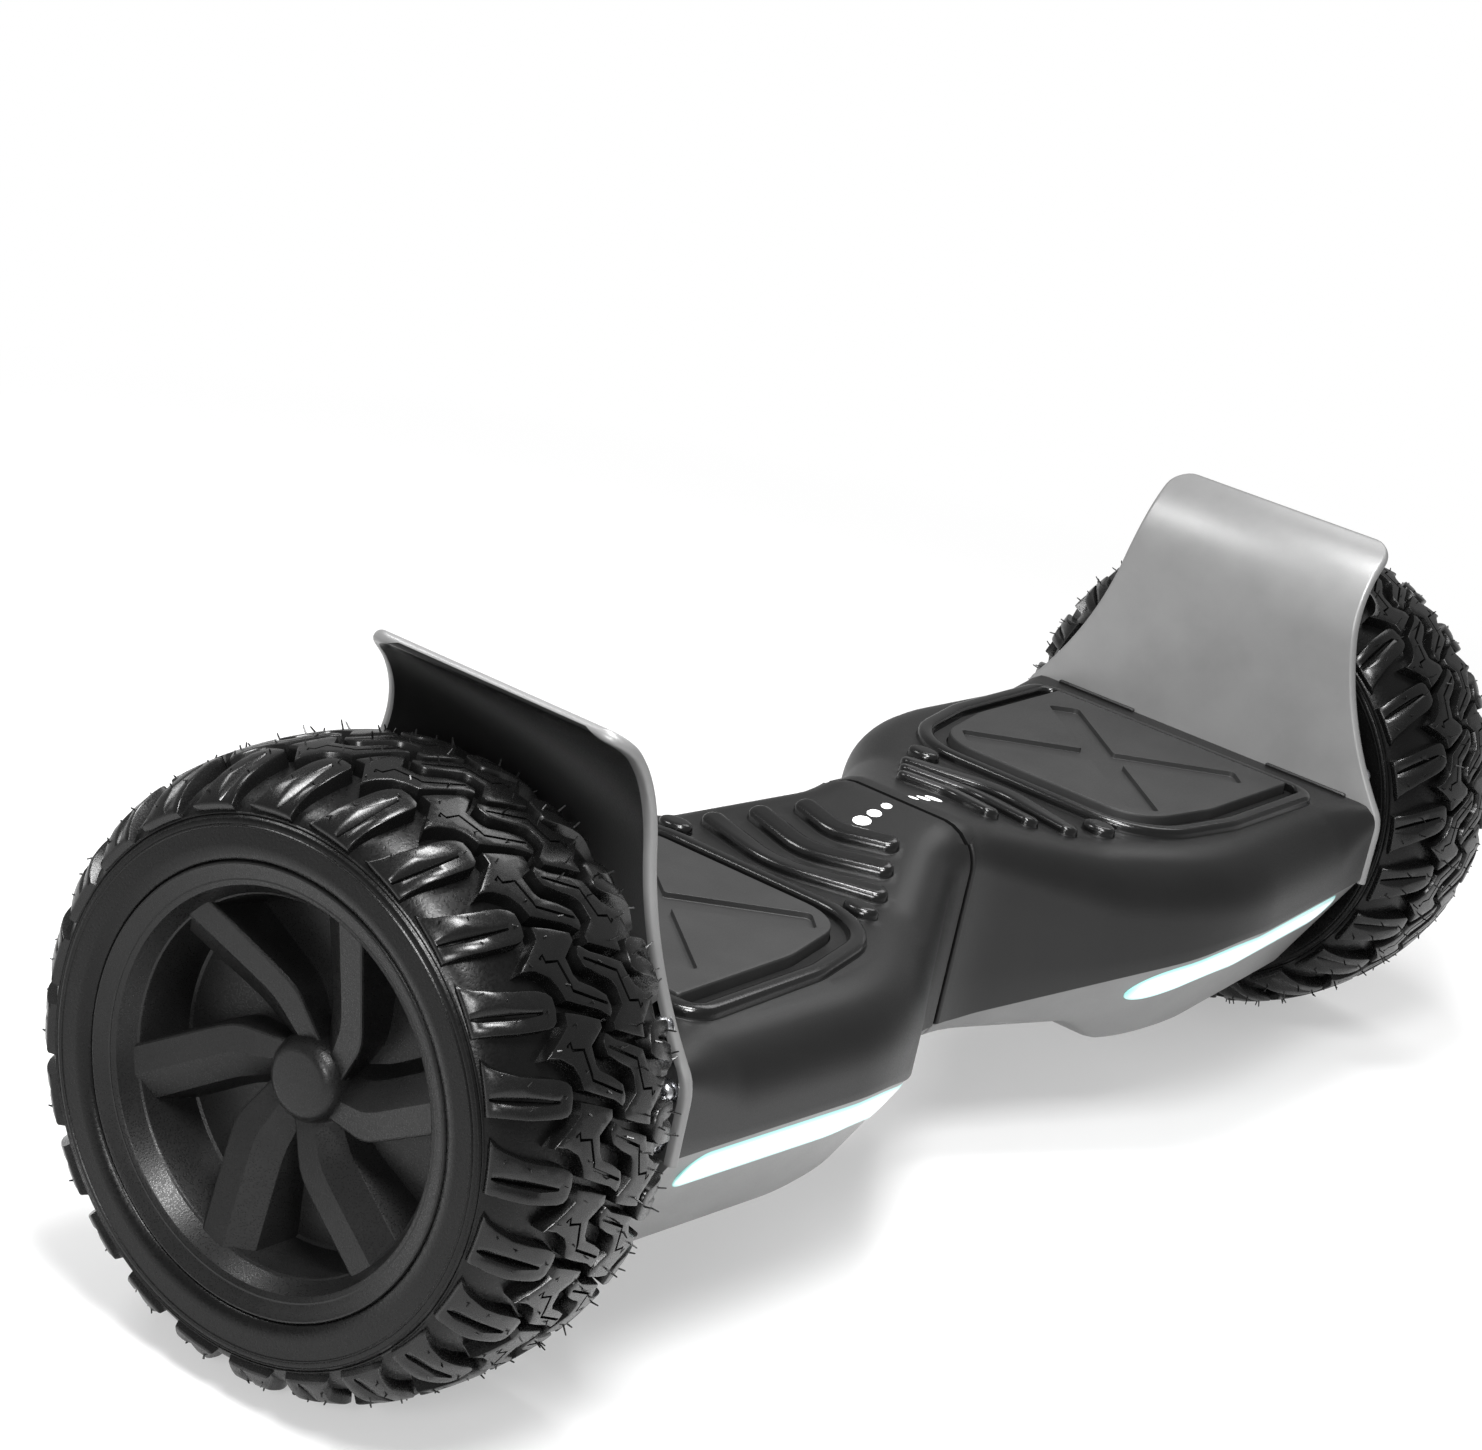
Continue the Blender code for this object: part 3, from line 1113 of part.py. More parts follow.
def build():
    for old in list(bpy.data.objects):
        bpy.data.objects.remove(old)
    black = material("satin_black_plastic", (0.022, 0.022, 0.024), 0.42)
    silver = material("silver_paint", (0.40, 0.41, 0.42), 0.38, 0.6)
    rubber = material("pad_rubber", (0.018, 0.018, 0.018), 0.7)
    tread = material("tyre_rubber", (0.012, 0.012, 0.013), 0.5)
    cover = material("wheel_plastic", (0.03, 0.03, 0.032), 0.5)
    alloy = material("cast_alloy", (0.55, 0.56, 0.57), 0.45, 0.9)
    steel = material("steel", (0.6, 0.6, 0.62), 0.3, 1.0)
    laminate = material("lamination_steel", (0.25, 0.2, 0.16), 0.5, 0.8)
    magnet = material("magnet", (0.12, 0.12, 0.13), 0.4, 0.7)
    board = material("circuit_board", (0.02, 0.14, 0.06), 0.5)
    bronze = material("bush_bronze", (0.55, 0.38, 0.18), 0.4, 0.9)
    wrap = material("battery_wrap", (0.02, 0.09, 0.3), 0.45)
    sheath = material("cable_sheath", (0.02, 0.02, 0.02), 0.55)
    white = material("headlight_lens", (0.85, 1.0, 1.0), 0.15, 0.0, 2.0)
    red = material("tail_light_lens", (0.55, 0.01, 0.03), 0.2)
    glow = material("indicator_lens", (0.95, 0.95, 0.95), 0.3, 0.0, 1.0)

    hub = (TYRE_X, 0, AXLE_Z)
    deck = (0, 0, AXLE_Z)
    pad = (PAD_MIDDLE, 0, DECK_Z)
    for side, name in ((-1, "left"), (1, "right")):
        place("tyre_" + name, tyre(), tread, side, hub)
        place("wheel_rim_" + name, wheel_rim(), alloy, side, hub)
        place("wheel_cover_" + name, wheel_cover(), cover, side, hub)
        place("motor_side_cover_" + name, motor_side_cover(), alloy, side, hub)
        place("magnet_ring_" + name, magnet_ring(), magnet, side, hub)
        outer = TYRE_X + WEB_INNER + FIT
        inner = COVER_X - COVER_PLATE / 2
        place("wheel_bearing_outer_" + name, wheel_bearing(outer), steel, side, hub)
        place("wheel_bearing_inner_" + name, wheel_bearing(inner), steel, side, hub)
        place("axle_" + name, axle(), steel, side, deck)
        place("stator_" + name, stator(), laminate, side, deck)
        place("axle_clamp_" + name, axle_clamp(), alloy, side, deck)
        place("chassis_" + name, chassis(), alloy, side, deck)
        place("top_cover_" + name, top_cover(), black, side, deck)
        place("bottom_cover_" + name, bottom_cover(side > 0), silver, side, deck)
        place("fender_" + name, fender(), silver, side, deck)
        place("foot_pad_" + name, foot_pad(), rubber, side, pad)
        place("headlight_lens_" + name, lens_body(0, LENS_PROUD, -LENS_THICK), white, side, deck)
        place("headlight_board_" + name, headlight_board(), board, side, deck)
        place("tail_light_" + name, tail_bar(0), red, side, deck)
        place("indicator_light_" + name, indicator_light(), glow, side, deck)
        place("sensor_board_" + name, sensor_board(), board, side, deck)
        place("pivot_bush_" + name, pivot_bush(), bronze, side, deck)
        place("retaining_ring_" + name, retaining_ring(), steel, side, deck)
    plug_end = PIVOT_HALF_LENGTH + 2 * PIVOT_RADIUS + 4 * FIT
    place("motor_cable_left", motor_cable(PAD_INNER), sheath, -1, deck)
    place("motor_cable_right", motor_cable(plug_end), sheath, 1, deck)
    place("pivot_shaft", pivot_shaft(), steel, 1, deck)
    place("cross_cable", cross_cable(), sheath, 1, deck)
    place("battery_pack", battery_pack(), wrap, 1, deck)
    place("main_board", main_board(), board, -1, deck)
    place("power_switch", power_switch(), black, 1, deck)
    place("power_button", power_button(), rubber, 1, (PORT_X, BUTTON_Y, WAIST_BELLY))
    place("charge_port", charge_port(), black, 1, deck)
    x, z = cap_hinge()
    place("charge_cap", charge_cap(), rubber, 1, (x, -BUTTON_Y, z))


build()
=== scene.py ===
"""Looks of the off-road self-balancing board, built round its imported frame.

X runs along the axle, -Y is the front with the headlights, +Z is up. Every right-hand piece is made at +X and
mirrored for its left-hand twin. Lengths are metres, tread outlines are millimetres and degrees.
"""

import math
import random

import bmesh
import bpy
from mathutils import Matrix, Vector
from mathutils.geometry import delaunay_2d_cdt


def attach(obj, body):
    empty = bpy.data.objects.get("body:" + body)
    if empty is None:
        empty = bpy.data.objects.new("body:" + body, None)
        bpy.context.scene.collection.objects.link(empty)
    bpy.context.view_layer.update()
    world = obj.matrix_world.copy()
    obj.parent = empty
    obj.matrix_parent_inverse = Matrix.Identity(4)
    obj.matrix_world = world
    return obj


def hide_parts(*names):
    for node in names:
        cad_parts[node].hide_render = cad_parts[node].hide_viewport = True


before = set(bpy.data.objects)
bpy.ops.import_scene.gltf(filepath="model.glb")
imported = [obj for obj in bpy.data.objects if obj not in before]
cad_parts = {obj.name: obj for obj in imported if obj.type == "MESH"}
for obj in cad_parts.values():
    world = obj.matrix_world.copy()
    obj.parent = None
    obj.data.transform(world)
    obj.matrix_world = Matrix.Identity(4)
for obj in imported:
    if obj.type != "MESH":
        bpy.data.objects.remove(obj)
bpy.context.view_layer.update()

SIDES = (("left", -1), ("right", 1))
MM = 0.001
FIT = 0.0003
GRID = 0.004
WELD = 2e-6
TINY = 1e-7

# Deck shell
AXLE_Z = 0.105
SEAM = 0.00125
DECK_END = 0.245
SHELL_WALL = 0.0025
WAIST_HALF_DEPTH = 0.037
WAIST_CORNER = 0.014
WAIST_BEND = 0.040
SHOULDER_X = 0.121
SHOULDER_HALF_DEPTH = 0.097
SHOULDER_BEND = 0.100
END_HALF_DEPTH = 0.088
DECK_Z = 0.1285
END_Z = 0.127
WAIST_Z = 0.1425
SLOPE_OUTER = 0.070
SLOPE_BEND = 0.060
WAIST_TOP_BEND = 0.020
END_BEND = 0.050
WAIST_FILLET = 0.016
DECK_FILLET = 0.024
END_FILLET = 0.009
WAIST_EDGE_Z = 0.0625
EDGE_Z = 0.0945
EDGE_CORNER = 0.128
EDGE_BEND = 0.090
SEAM_ROUND = 0.0012
SEAM_SHARES = (0, 0.04, 0.16, 0.4, 0.7, 1.0)
RIM_ROUND = 0.0008
FLAT_ARC = math.radians(50)
BOSS_HOLE = 0.0179
AXLE_SLOT = 0.009

# Bottom shell
EDGE_STEP = 0.001
BELLY_Z = 0.042
WAIST_BELLY_Z = 0.054
BELLY_STEP_INNER = 0.076
BELLY_STEP_OUTER = 0.096
BELLY_FILLET = 0.010
BELLY_BEND = 0.012
FLANK_LEAN = 0.56

# Foot pad and moulded ribs
PAD_INNER = 0.105
PAD_OUTER = 0.2157
PAD_MIDDLE = (PAD_INNER + PAD_OUTER) / 2
PAD_HALF_DEPTH = 0.0572
PAD_CUT_X = 0.150
PAD_CUT_HALF_DEPTH = 0.0490
PAD_NOSE = 0.021
PAD_CORNER = 0.006
RIB_CORNER = 0.012
PAD_END_CORNER = 0.0015
PAD_CUT_BEND = 0.040
PAD_TOP = 0.133
PAD_FLANGE = 0.0025
PAD_LOW = 0.1242
PAD_UNDER = 0.1257
PAD_STEM = 0.004
STEM_LOW = 0.1137
GRIP_X = 0.1573
GRIP_HALF_LENGTH = 0.059
GRIP_HALF_WIDTH = 0.00675
GRIP_ANGLE = math.radians(47)
GRIP_END_ROUND = 0.0022
GRIP_CROTCH_ROUND = 0.0012
GROOVE_WIDTH = 0.0062
RIB_WIDTH = 0.0068
RIB_GLOSS_HEIGHT = 0.0006
RIB_CLEAR = 0.0012
DOT_CLEAR = 0.0010
EDGE_CLEAR = 0.002
CHEVRON_WIDTH = 0.0092
CHEVRON_FIRST = 0.0352
CHEVRON_PITCH = 0.0163
CHEVRON_FIRST_SPAN = 0.0186
CHEVRON_SPAN_STEP = 0.0091
CHEVRON_SWEEP = 0.3375
STUD_X = 0.0848
STUD_Y = 0.0418
STUD_LENGTH = 0.014
STUD_WIDTH = 0.0105
TAB_Y = 0.0525
TAB_LENGTH = 0.0385
TAB_THICK = 0.002
TAB_RISE = 0.0014
TAB_DIP = 0.0012
TAB_BEVEL = 0.0004

# Lights
DOTS = ((0.0094, 0.0021), (0.0172, 0.0028), (0.0250, 0.0035))
DOT_DEPTH = 0.0034
LENS_INNER = 0.086
LENS_OUTER = 0.232
LENS_DROP = 0.0113
LENS_HEIGHT = 0.0170
LENS_TIP = 0.12
LENS_INNER_ROUND = 0.016
LENS_OUTER_ROUND = 0.008
LENS_THICK = 0.0034
LENS_PROUD = 0.0006
TAIL_INNER = 0.009
TAIL_OUTER = 0.0385
TAIL_HEIGHT = 0.012
TAIL_PROUD = 0.0012
TAIL_BACK = 0.0041
TAIL_ROUND = 0.0008
TAIL_BEVEL = 0.0009

# Fender
FENDER_X = 0.2453
FENDER_THICK = 0.0032
FENDER_BEAD = 0.0042
FENDER_OVERHANG = 0.0015
FENDER_LIP = 0.054
FENDER_RISE = 0.1255
FENDER_STRAIGHT = 0.085
FENDER_FLARE = 0.0255
FENDER_ROLL = 1.6
PLATE_STEPS = 40
FLARE_STEPS = 28
LIP_STEPS = (27.3, 27.6, 27.75, 27.87, 27.95, 28)
FENDER_CORNER = 0.012
FENDER_SWEEP_RISE = 0.019
FENDER_TUCK = 0.0018
FENDER_TAPER = 2.4
FENDER_BORDER = 0.0052
FENDER_RECESS = 0.0007
FENDER_STEP = 0.0016
FENDER_FOOT = 0.0002
FENDER_SCREWS = ((0.0745, 0.137), (0.0815, 0.117), (0.080, 0.0985))
SCREW_RADIUS = 0.0032
SCREW_HEIGHT = 0.0042
SCREW_SUNK = 0.0002

# Wheel
TYRE_X = 0.305
TYRE_RADIUS = 0.105
TYRE_HALF_WIDTH = 0.045
TREAD_DEPTH = 0.0055
CROWN_POWER = 2.6
SIDEWALL_RADIUS = 0.078
BEAD_HALF_WIDTH = 0.040
BEAD_RADIUS = 0.070
SIDEWALL_LIMIT = 0.0444
INNER_HALF_WIDTH = 0.033
INNER_RADIUS = 0.0855
SIDEWALL_RIDGES = (0.0838, 0.0862, 0.0874)
TREAD_PITCHES = 24
TREAD_PITCH = 15.0
TREAD_MIRROR = 45.1
LIP_X = 0.3473
LIP_RADIUS = 0.0725
COVER_BACK_X = 0.3133
COVER_SEAT = 0.0662
DISH_INNER = 0.019
DISH_FLOOR_X = 0.3185
BOSS_FACE_X = 0.3310
BOSS_FACE_RADIUS = 0.0092
SPOKES = 6
SPOKE_ANGLE = -18.5
SPOKE_SKIRT = 0.004
SPOKE_HUB_LEAN = 30
SPOKE_HUB_SPREAD = 35
SPOKE_KINK = 0.027
SPOKE_KINK_OFFSET = 0.0078
SPOKE_KINK_SKEW = 0.002
SPOKE_END_OFFSET = -0.001
SPOKE_HALF_WIDTH = 0.0097
SPOKE_HUB_RADIUS = 0.0125
SPOKE_OUTER_RADIUS = 0.0615
SPOKE_LEVELS = (0.3262, 0.3310, 0.3393)
SPOKE_FLAT = 0.52
SPOKE_DROP = 0.0050
SPOKE_CHAMFER = 0.0009
SPOKE_SUNK = 0.001
BOSS_RADIUS = 0.0150
BOSS_WIDEST_X = 0.3222
WHEEL_ROUND = 120


# Outline helpers

def rounded(points, radii, segments=10):
    """An open polyline with its inner corners replaced by tangent arcs."""
    path = [Vector(points[0])]
    for before, corner, after, radius in zip(points, points[1:], points[2:], radii):
        path += corner_arc(Vector(before), Vector(corner), Vector(after), radius, segments)
    path.append(Vector(points[-1]))
    return path


def corner_arc(before, corner, after, radius, segments):
    back = (before - corner).normalized()
    ahead = (after - corner).normalized()
    half = back.angle(ahead) / 2
    reach = radius / math.tan(half)
    centre = corner + (back + ahead).normalized() * (radius / math.sin(half))
    start = corner + back * reach - centre
    sweep = math.pi - 2 * half
    turn = 1 if start.cross(corner + ahead * reach - centre) > 0 else -1
    arc = []
    for step in range(segments + 1):
        angle = turn * sweep * step / segments
        arc.append(centre + Vector((start.x * math.cos(angle) - start.y * math.sin(angle),
                                    start.x * math.sin(angle) + start.y * math.cos(angle))))
    return arc


def rounded_loop(points, radii, segments=5):
    """A closed outline with every corner replaced by a tangent arc."""
    loop = []
    count = len(points)
    for i, radius in enumerate(radii):
        loop += corner_arc(Vector(points[i - 1]), Vector(points[i]), Vector(points[(i + 1) % count]),
                           radius, segments)
    return loop


def reader(path):
    """A function that reads y at x along a path whose x grows."""
    path = [Vector(p) for p in path]

    def read(x):
        for a, b in zip(path, path[1:]):
            if x <= b.x:
                share = 0 if b.x == a.x else (x - a.x) / (b.x - a.x)
                return a.y + (b.y - a.y) * max(share, 0)
        return path[-1].y
    return read


def circle(x, y, radius, segments, stretch=1.0):
    return [Vector((x + radius * math.cos(math.tau * i / segments),
                    y + stretch * radius * math.sin(math.tau * i / segments))) for i in range(segments)]


def both_sides(path):
    """Closes a path drawn at +Y with its mirror image at -Y."""
    return [Vector((p.x, p.y)) for p in path] + [Vector((p.x, -p.y)) for p in reversed(path)]


def band(path, width, segments=8):
    """The outline of a round-ended strip of constant width along a path."""
    left = []
    right = []
    for i, point in enumerate(path):
        ahead = (path[min(i + 1, len(path) - 1)] - path[max(i - 1, 0)]).normalized()
        normal = Vector((-ahead.y, ahead.x)) * (width / 2)
        left.append(point + normal)
        right.append(point - normal)

    def cap(centre, start):
        return [centre + Vector((start.x * math.cos(a) + start.y * math.sin(a),
                                 start.y * math.cos(a) - start.x * math.sin(a)))
                for a in (math.pi * k / segments for k in range(1, segments))]
    return left + cap(path[-1], left[-1] - path[-1]) + right[::-1] + cap(path[0], right[0] - path[0])


def area(loop):
    return sum(a.x * b.y - a.y * b.x for a, b in zip(loop, loop[1:] + loop[:1])) / 2


def grown(loop, distance):
    """A closed outline moved outwards by a distance, with its sharp corners held back."""
    loop = [Vector(p) for p in loop]
    if area(loop) < 0:
        loop.reverse()
    result = []
    for before, point, after in zip(loop[-1:] + loop[:-1], loop, loop[1:] + loop[:1]):
        one = (point - before).normalized()
        two = (after - point).normalized()
        normal = Vector((one.y + two.y, -one.x - two.x))
        if normal.length < 1e-6:
            normal = Vector((one.y, -one.x))
        normal.normalize()
        stretch = 1 / max(normal.dot(Vector((one.y, -one.x))), 0.55)
        result.append(point + normal * distance * stretch)
    return result


def spaced(loop, step):
    """A closed outline with points added so that none lie further apart than a step."""
    result = []
    for a, b in zip(loop, loop[1:] + loop[:1]):
        count = max(1, math.ceil((b - a).length / step))
        result += [a.lerp(b, i / count) for i in range(count)]
    return result


def inside(loop, p):
    hit = False
    for a, b in zip(loop, loop[1:] + loop[:1]):
        if (a.y > p.y) != (b.y > p.y) and p.x < (b.x - a.x) * (p.y - a.y) / (b.y - a.y) + a.x:
            hit = not hit
    return hit


# Shape builder

class Shape:
    """Points and faces of one piece, gathered before it becomes a mesh."""

    def __init__(self):
        self.points = []
        self.faces = []
        self.looks = []

    def row(self, points):
        start = len(self.points)
        self.points += [Vector(p) for p in points]
        return list(range(start, len(self.points)))

    def face(self, corners, look=0):
        self.faces.append(tuple(corners))
        self.looks.append(look)

    def bridge(self, a, b, closed=True, look=0):
        for i in range(len(a) if closed else len(a) - 1):
            j = (i + 1) % len(a)
            self.face((a[i], a[j], b[j], b[i]), look)

    def loft(self, rings, ends=True, look=0):
        rows = [self.row(ring) for ring in rings]
        for low, high in zip(rows, rows[1:]):
            self.bridge(low, high, look=look)
        if ends:
            self.face(rows[0][::-1], look)
            self.face(rows[-1], look)
        return rows

    def turned(self, profile, segments, look=0):
        """A solid turned about the axle line from an (x, radius) profile."""
        rows = []
        for i in range(segments):
            angle = math.tau * i / segments
            rows.append(self.row([(x, r * math.sin(angle), AXLE_Z + r * math.cos(angle))
                                  for x, r in profile]))
        for row, after in zip(rows, rows[1:] + rows[:1]):
            self.bridge(row, after, look=look)

    def patch(self, loops, spots, put, holes=(), raised=None):
        """Fills the first loop with triangles that keep to all loops and spots; put turns a point to 3-D.

        Each loop and spot carries a tag for put; faces whose tags all pass raised take the second look.
        """
        flat = []
        tags = []
        faces = []
        for loop, tag in loops:
            if area(loop) < 0:
                loop = loop[::-1]
            faces.append(list(range(len(flat), len(flat) + len(loop))))
            flat += loop
            tags += [tag] * len(loop)
        for spot, tag in spots:
            flat.append(spot)
            tags.append(tag)
        found, _, triangles, origins, _, owners = delaunay_2d_cdt(flat, [], faces, 0, 1e-9)
        made = {}
        for triangle, owner in zip(triangles, owners):
            if 0 in owner and not any(hole in owner for hole in holes):
                heights = [tags[origins[i][0]] if origins[i] else 0.0 for i in triangle]
                for i, tag in zip(triangle, heights):
                    if i not in made:
                        made[i] = self.row([put(found[i], tag)])[0]
                look = 1 if raised is not None and min(heights) >= raised else 0
                self.face([made[i] for i in triangle], look)

    def mesh(self, name, side=1, smooth=35, wall=0.0, probe=None):
        """The mesh, mirrored in X for the left side; wall thickens an open skin inwards."""
        solid = bmesh.new()
        verts = [solid.verts.new((side * p.x, p.y, p.z)) for p in self.points]
        for corners, look in zip(self.faces, self.looks):
            try:
                made = solid.faces.new([verts[i] for i in corners])
            except ValueError:
                continue
            made.material_index = look
        bmesh.ops.remove_doubles(solid, verts=solid.verts, dist=WELD)
        bmesh.ops.dissolve_degenerate(solid, edges=solid.edges, dist=TINY)
        loose = [v for v in solid.verts if not v.link_faces]
        bmesh.ops.delete(solid, geom=loose, context="VERTS")
        bmesh.ops.recalc_face_normals(solid, faces=solid.faces)
        if probe is not None:
            outward = max(solid.faces, key=lambda face: face.calc_center_median().dot(probe))
            if outward.normal.dot(probe) < 0:
                bmesh.ops.reverse_faces(solid, faces=solid.faces)
        if wall:
            bmesh.ops.solidify(solid, geom=solid.faces[:], thickness=wall)
            bmesh.ops.recalc_face_normals(solid, faces=solid.faces)
        made = bpy.data.meshes.new(name)
        solid.to_mesh(made)
        solid.free()
        made.shade_smooth()
        made.set_sharp_from_angle(angle=math.radians(smooth))
        return made


def piece(name, mesh, looks, body, nodes=()):
    """Adds a piece: its materials, the body it rides on and the nodes it stands for."""
    made = bpy.data.objects.new(name, mesh)
    bpy.context.scene.collection.objects.link(made)
    for look in looks:
        mesh.materials.append(look)
    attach(made, body)
    if nodes:
        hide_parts(*nodes)
    return made


# Materials

def linear(level):
    """Linear value of an sRGB level from 0 to 255."""
    share = level / 255
    return share / 12.92 if share <= 0.04045 else ((share + 0.055) / 1.055) ** 2.4


def tone(red, green=None, blue=None):
    green = red if green is None else green
    blue = red if blue is None else blue
    return (linear(red), linear(green), linear(blue), 1.0)


class Nodes:
    """Short calls that add and join shader nodes."""

    MIX_FACTOR = 0
    MIX_FIRST = 6
    MIX_SECOND = 7
    MIX_RESULT = 2

    def __init__(self, name):
        self.material = bpy.data.materials.new(name)
        self.material.use_nodes = True
        self.tree = self.material.node_tree
        self.shader = self.tree.nodes["Principled BSDF"]
        self.coordinates = self.add("TexCoord", {}).outputs["Object"]

    def give(self, node, inputs):
        """Sets inputs of a node to values, or joins them to the outputs of other nodes."""
        for socket, value in inputs.items():
            if isinstance(value, bpy.types.NodeSocket):
                self.tree.links.new(value, node.inputs[socket])
            else:
                node.inputs[socket].default_value = value

    def add(self, kind, inputs, **settings):
        made = self.tree.nodes.new("ShaderNode" + kind)
        for setting, value in settings.items():
            setattr(made, setting, value)
        self.give(made, inputs)
        return made

    def noise(self, scale, detail, rough):
        return self.add("TexNoise", {"Vector": self.coordinates, "Scale": scale, "Detail": detail,
                                     "Roughness": rough}).outputs["Fac"]

    def cells(self, scale):
        return self.add("TexVoronoi", {"Vector": self.coordinates, "Scale": scale}).outputs["Distance"]

    def span(self, value, low, high, to_low, to_high):
        return self.add("MapRange", {"Value": value, "From Min": low, "From Max": high, "To Min": to_low,
                                     "To Max": to_high}).outputs["Result"]

    def blend(self, factor, first, second):
        inputs = {self.MIX_FACTOR: factor, self.MIX_FIRST: first, self.MIX_SECOND: second}
        return self.add("Mix", inputs, data_type="RGBA").outputs[self.MIX_RESULT]

    def mottled(self, noise, dark, light):
        return self.blend(self.span(noise, 0.3, 0.7, 0.0, 1.0), tone(*dark), tone(*light))

    def bump(self, value, strength, distance):
        inputs = {"Height": value, "Strength": strength, "Distance": distance}
        return self.add("Bump", inputs).outputs["Normal"]


def moulded(name, dark, light, rough, grain, depth, metal=0.0, patch=40.0, spread=0.06, specular=0.5):
    """Plastic, rubber or painted metal: mottled colour, uneven gloss and a fine grain in relief."""
    nodes = Nodes(name)
    fine = nodes.noise(grain, 2.0, 0.6)
    nodes.give(nodes.shader, {"Base Color": nodes.mottled(nodes.noise(patch, 4.0, 0.6), dark, light),
                              "Roughness": nodes.span(fine, 0.3, 0.7, rough - spread, rough + spread),
                              "Metallic": metal,
                              "Specular IOR Level": specular,
                              "Normal": nodes.bump(fine, 0.5, depth)})
    return nodes.material


def speckled(name, dark, light, rough, grain, depth, specular):
    """Sand-grained moulded plastic whose grains sparkle."""
    nodes = Nodes(name)
    grains = nodes.cells(grain)
    nodes.give(nodes.shader, {"Base Color": nodes.mottled(nodes.noise(60.0, 3.0, 0.6), dark, light),
                              "Roughness": nodes.span(grains, 0.0, 0.6, rough - 0.12, rough + 0.1),
                              "Specular IOR Level": specular,
                              "Normal": nodes.bump(grains, 0.6, depth)})
    return nodes.material


def glowing(name, core, edge, strength):
    """Lit lens: white core, tinted towards its rim."""
    nodes = Nodes(name)
    fine = nodes.noise(900.0, 2.0, 0.5)
    rim = nodes.add("Attribute", {}, attribute_name="rim").outputs["Fac"]
    colour = nodes.blend(nodes.span(rim, 0.0, 1.0, 0.0, 1.0), tone(*core), tone(*edge))
    nodes.give(nodes.shader, {"Base Color": colour,
                              "Emission Color": colour,
                              "Emission Strength": strength,
                              "Roughness": nodes.span(fine, 0.3, 0.7, 0.12, 0.2),
                              "Normal": nodes.bump(fine, 0.1, 0.00005)})
    return nodes.material


LOOKS = {look.name.split(".")[0]: look for look in (
    moulded("tyre_rubber", (9,), (14,), 0.26, 1600.0, 0.00003, patch=55.0, specular=0.40),
    # Tyre body, groove floors and sidewall: the coarser grain is real; the darker colour and weaker reflection
    # than the lug tops are painted shade.
    moulded("tyre_groove", (8,), (12,), 0.30, 900.0, 0.00016, patch=55.0, specular=0.24),
    moulded("satin_black_plastic", (13,), (17,), 0.42, 2200.0, 0.00005, specular=0.42),
    moulded("rib_plastic", (10,), (14,), 0.20, 1500.0, 0.00006),
    speckled("wheel_plastic", (17,), (23,), 0.30, 1500.0, 0.00005, 0.32),
    moulded("fender_black", (14,), (18,), 0.34, 1800.0, 0.00006),
    moulded("silver_paint", (132,), (140,), 0.36, 2500.0, 0.00005, metal=0.3),
    moulded("pad_rubber", (34,), (42,), 0.56, 1900.0, 0.00016, spread=0.05),
    moulded("cast_alloy", (150, 151, 153), (172, 173, 175), 0.45, 700.0, 0.00012, metal=0.9),
    moulded("magnet", (80,), (96,), 0.40, 800.0, 0.00008, metal=0.7),
    moulded("steel", (176, 177, 180), (196, 197, 200), 0.28, 1500.0, 0.00003, metal=1.0),
    moulded("lamination_steel", (120, 104, 92), (140, 124, 110), 0.5, 900.0, 0.0001, metal=0.7),
    moulded("circuit_board", (18, 78, 40), (26, 96, 50), 0.45, 1200.0, 0.00006),
    moulded("bush_bronze", (176, 140, 84), (196, 160, 104), 0.38, 900.0, 0.00005, metal=0.9),
    moulded("cable_sheath", (28,), (36,), 0.5, 900.0, 0.0001),
    moulded("battery_wrap", (22, 60, 138), (30, 76, 158), 0.35, 500.0, 0.00012),
    glowing("headlight_lens", (255, 255, 255), (132, 190, 186), 0.9),
    moulded("tail_light_lens", (168, 14, 30), (196, 22, 38), 0.2, 700.0, 0.00008),
    glowing("indicator_lens", (255, 255, 255), (240, 240, 240), 1.0),
)}

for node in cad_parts.values():
    for holder in node.material_slots:
        finish = holder.material.name.split(".")[0] if holder.material else None
        if finish in LOOKS:
            holder.material = LOOKS[finish]


# Deck section

PLAN = rounded([(0, WAIST_HALF_DEPTH), (WAIST_CORNER, WAIST_HALF_DEPTH),
                (SHOULDER_X, SHOULDER_HALF_DEPTH), (DECK_END, END_HALF_DEPTH)], [WAIST_BEND, SHOULDER_BEND])
EDGE = rounded([(0, WAIST_EDGE_Z), (WAIST_CORNER, WAIST_EDGE_Z), (EDGE_CORNER, EDGE_Z), (DECK_END, EDGE_Z)],
               [WAIST_BEND, EDGE_BEND])
half_depth = reader(PLAN)
edge_z = reader(EDGE)
slope_z = reader(rounded([(-SLOPE_OUTER, WAIST_Z), (0, WAIST_Z), (SLOPE_OUTER, DECK_Z), (PAD_OUTER, DECK_Z),
                          (DECK_END, END_Z)], [WAIST_TOP_BEND, SLOPE_BEND, END_BEND]))
top_fillet = reader([(0, WAIST_FILLET), (SLOPE_OUTER, DECK_FILLET), (PAD_OUTER, DECK_FILLET),
                     (DECK_END, END_FILLET)])
belly_z = reader(rounded([(0, WAIST_BELLY_Z), (BELLY_STEP_INNER, WAIST_BELLY_Z), (BELLY_STEP_OUTER, BELLY_Z),
                          (DECK_END, BELLY_Z)], [BELLY_BEND, BELLY_BEND]))


def seam_round(x):
    """How far the shell draws in at its rounded edge beside the seam."""
    left = SEAM_ROUND - (x - SEAM)
    return 0 if left <= 0 else SEAM_ROUND - math.sqrt(max(0, SEAM_ROUND ** 2 - left ** 2))


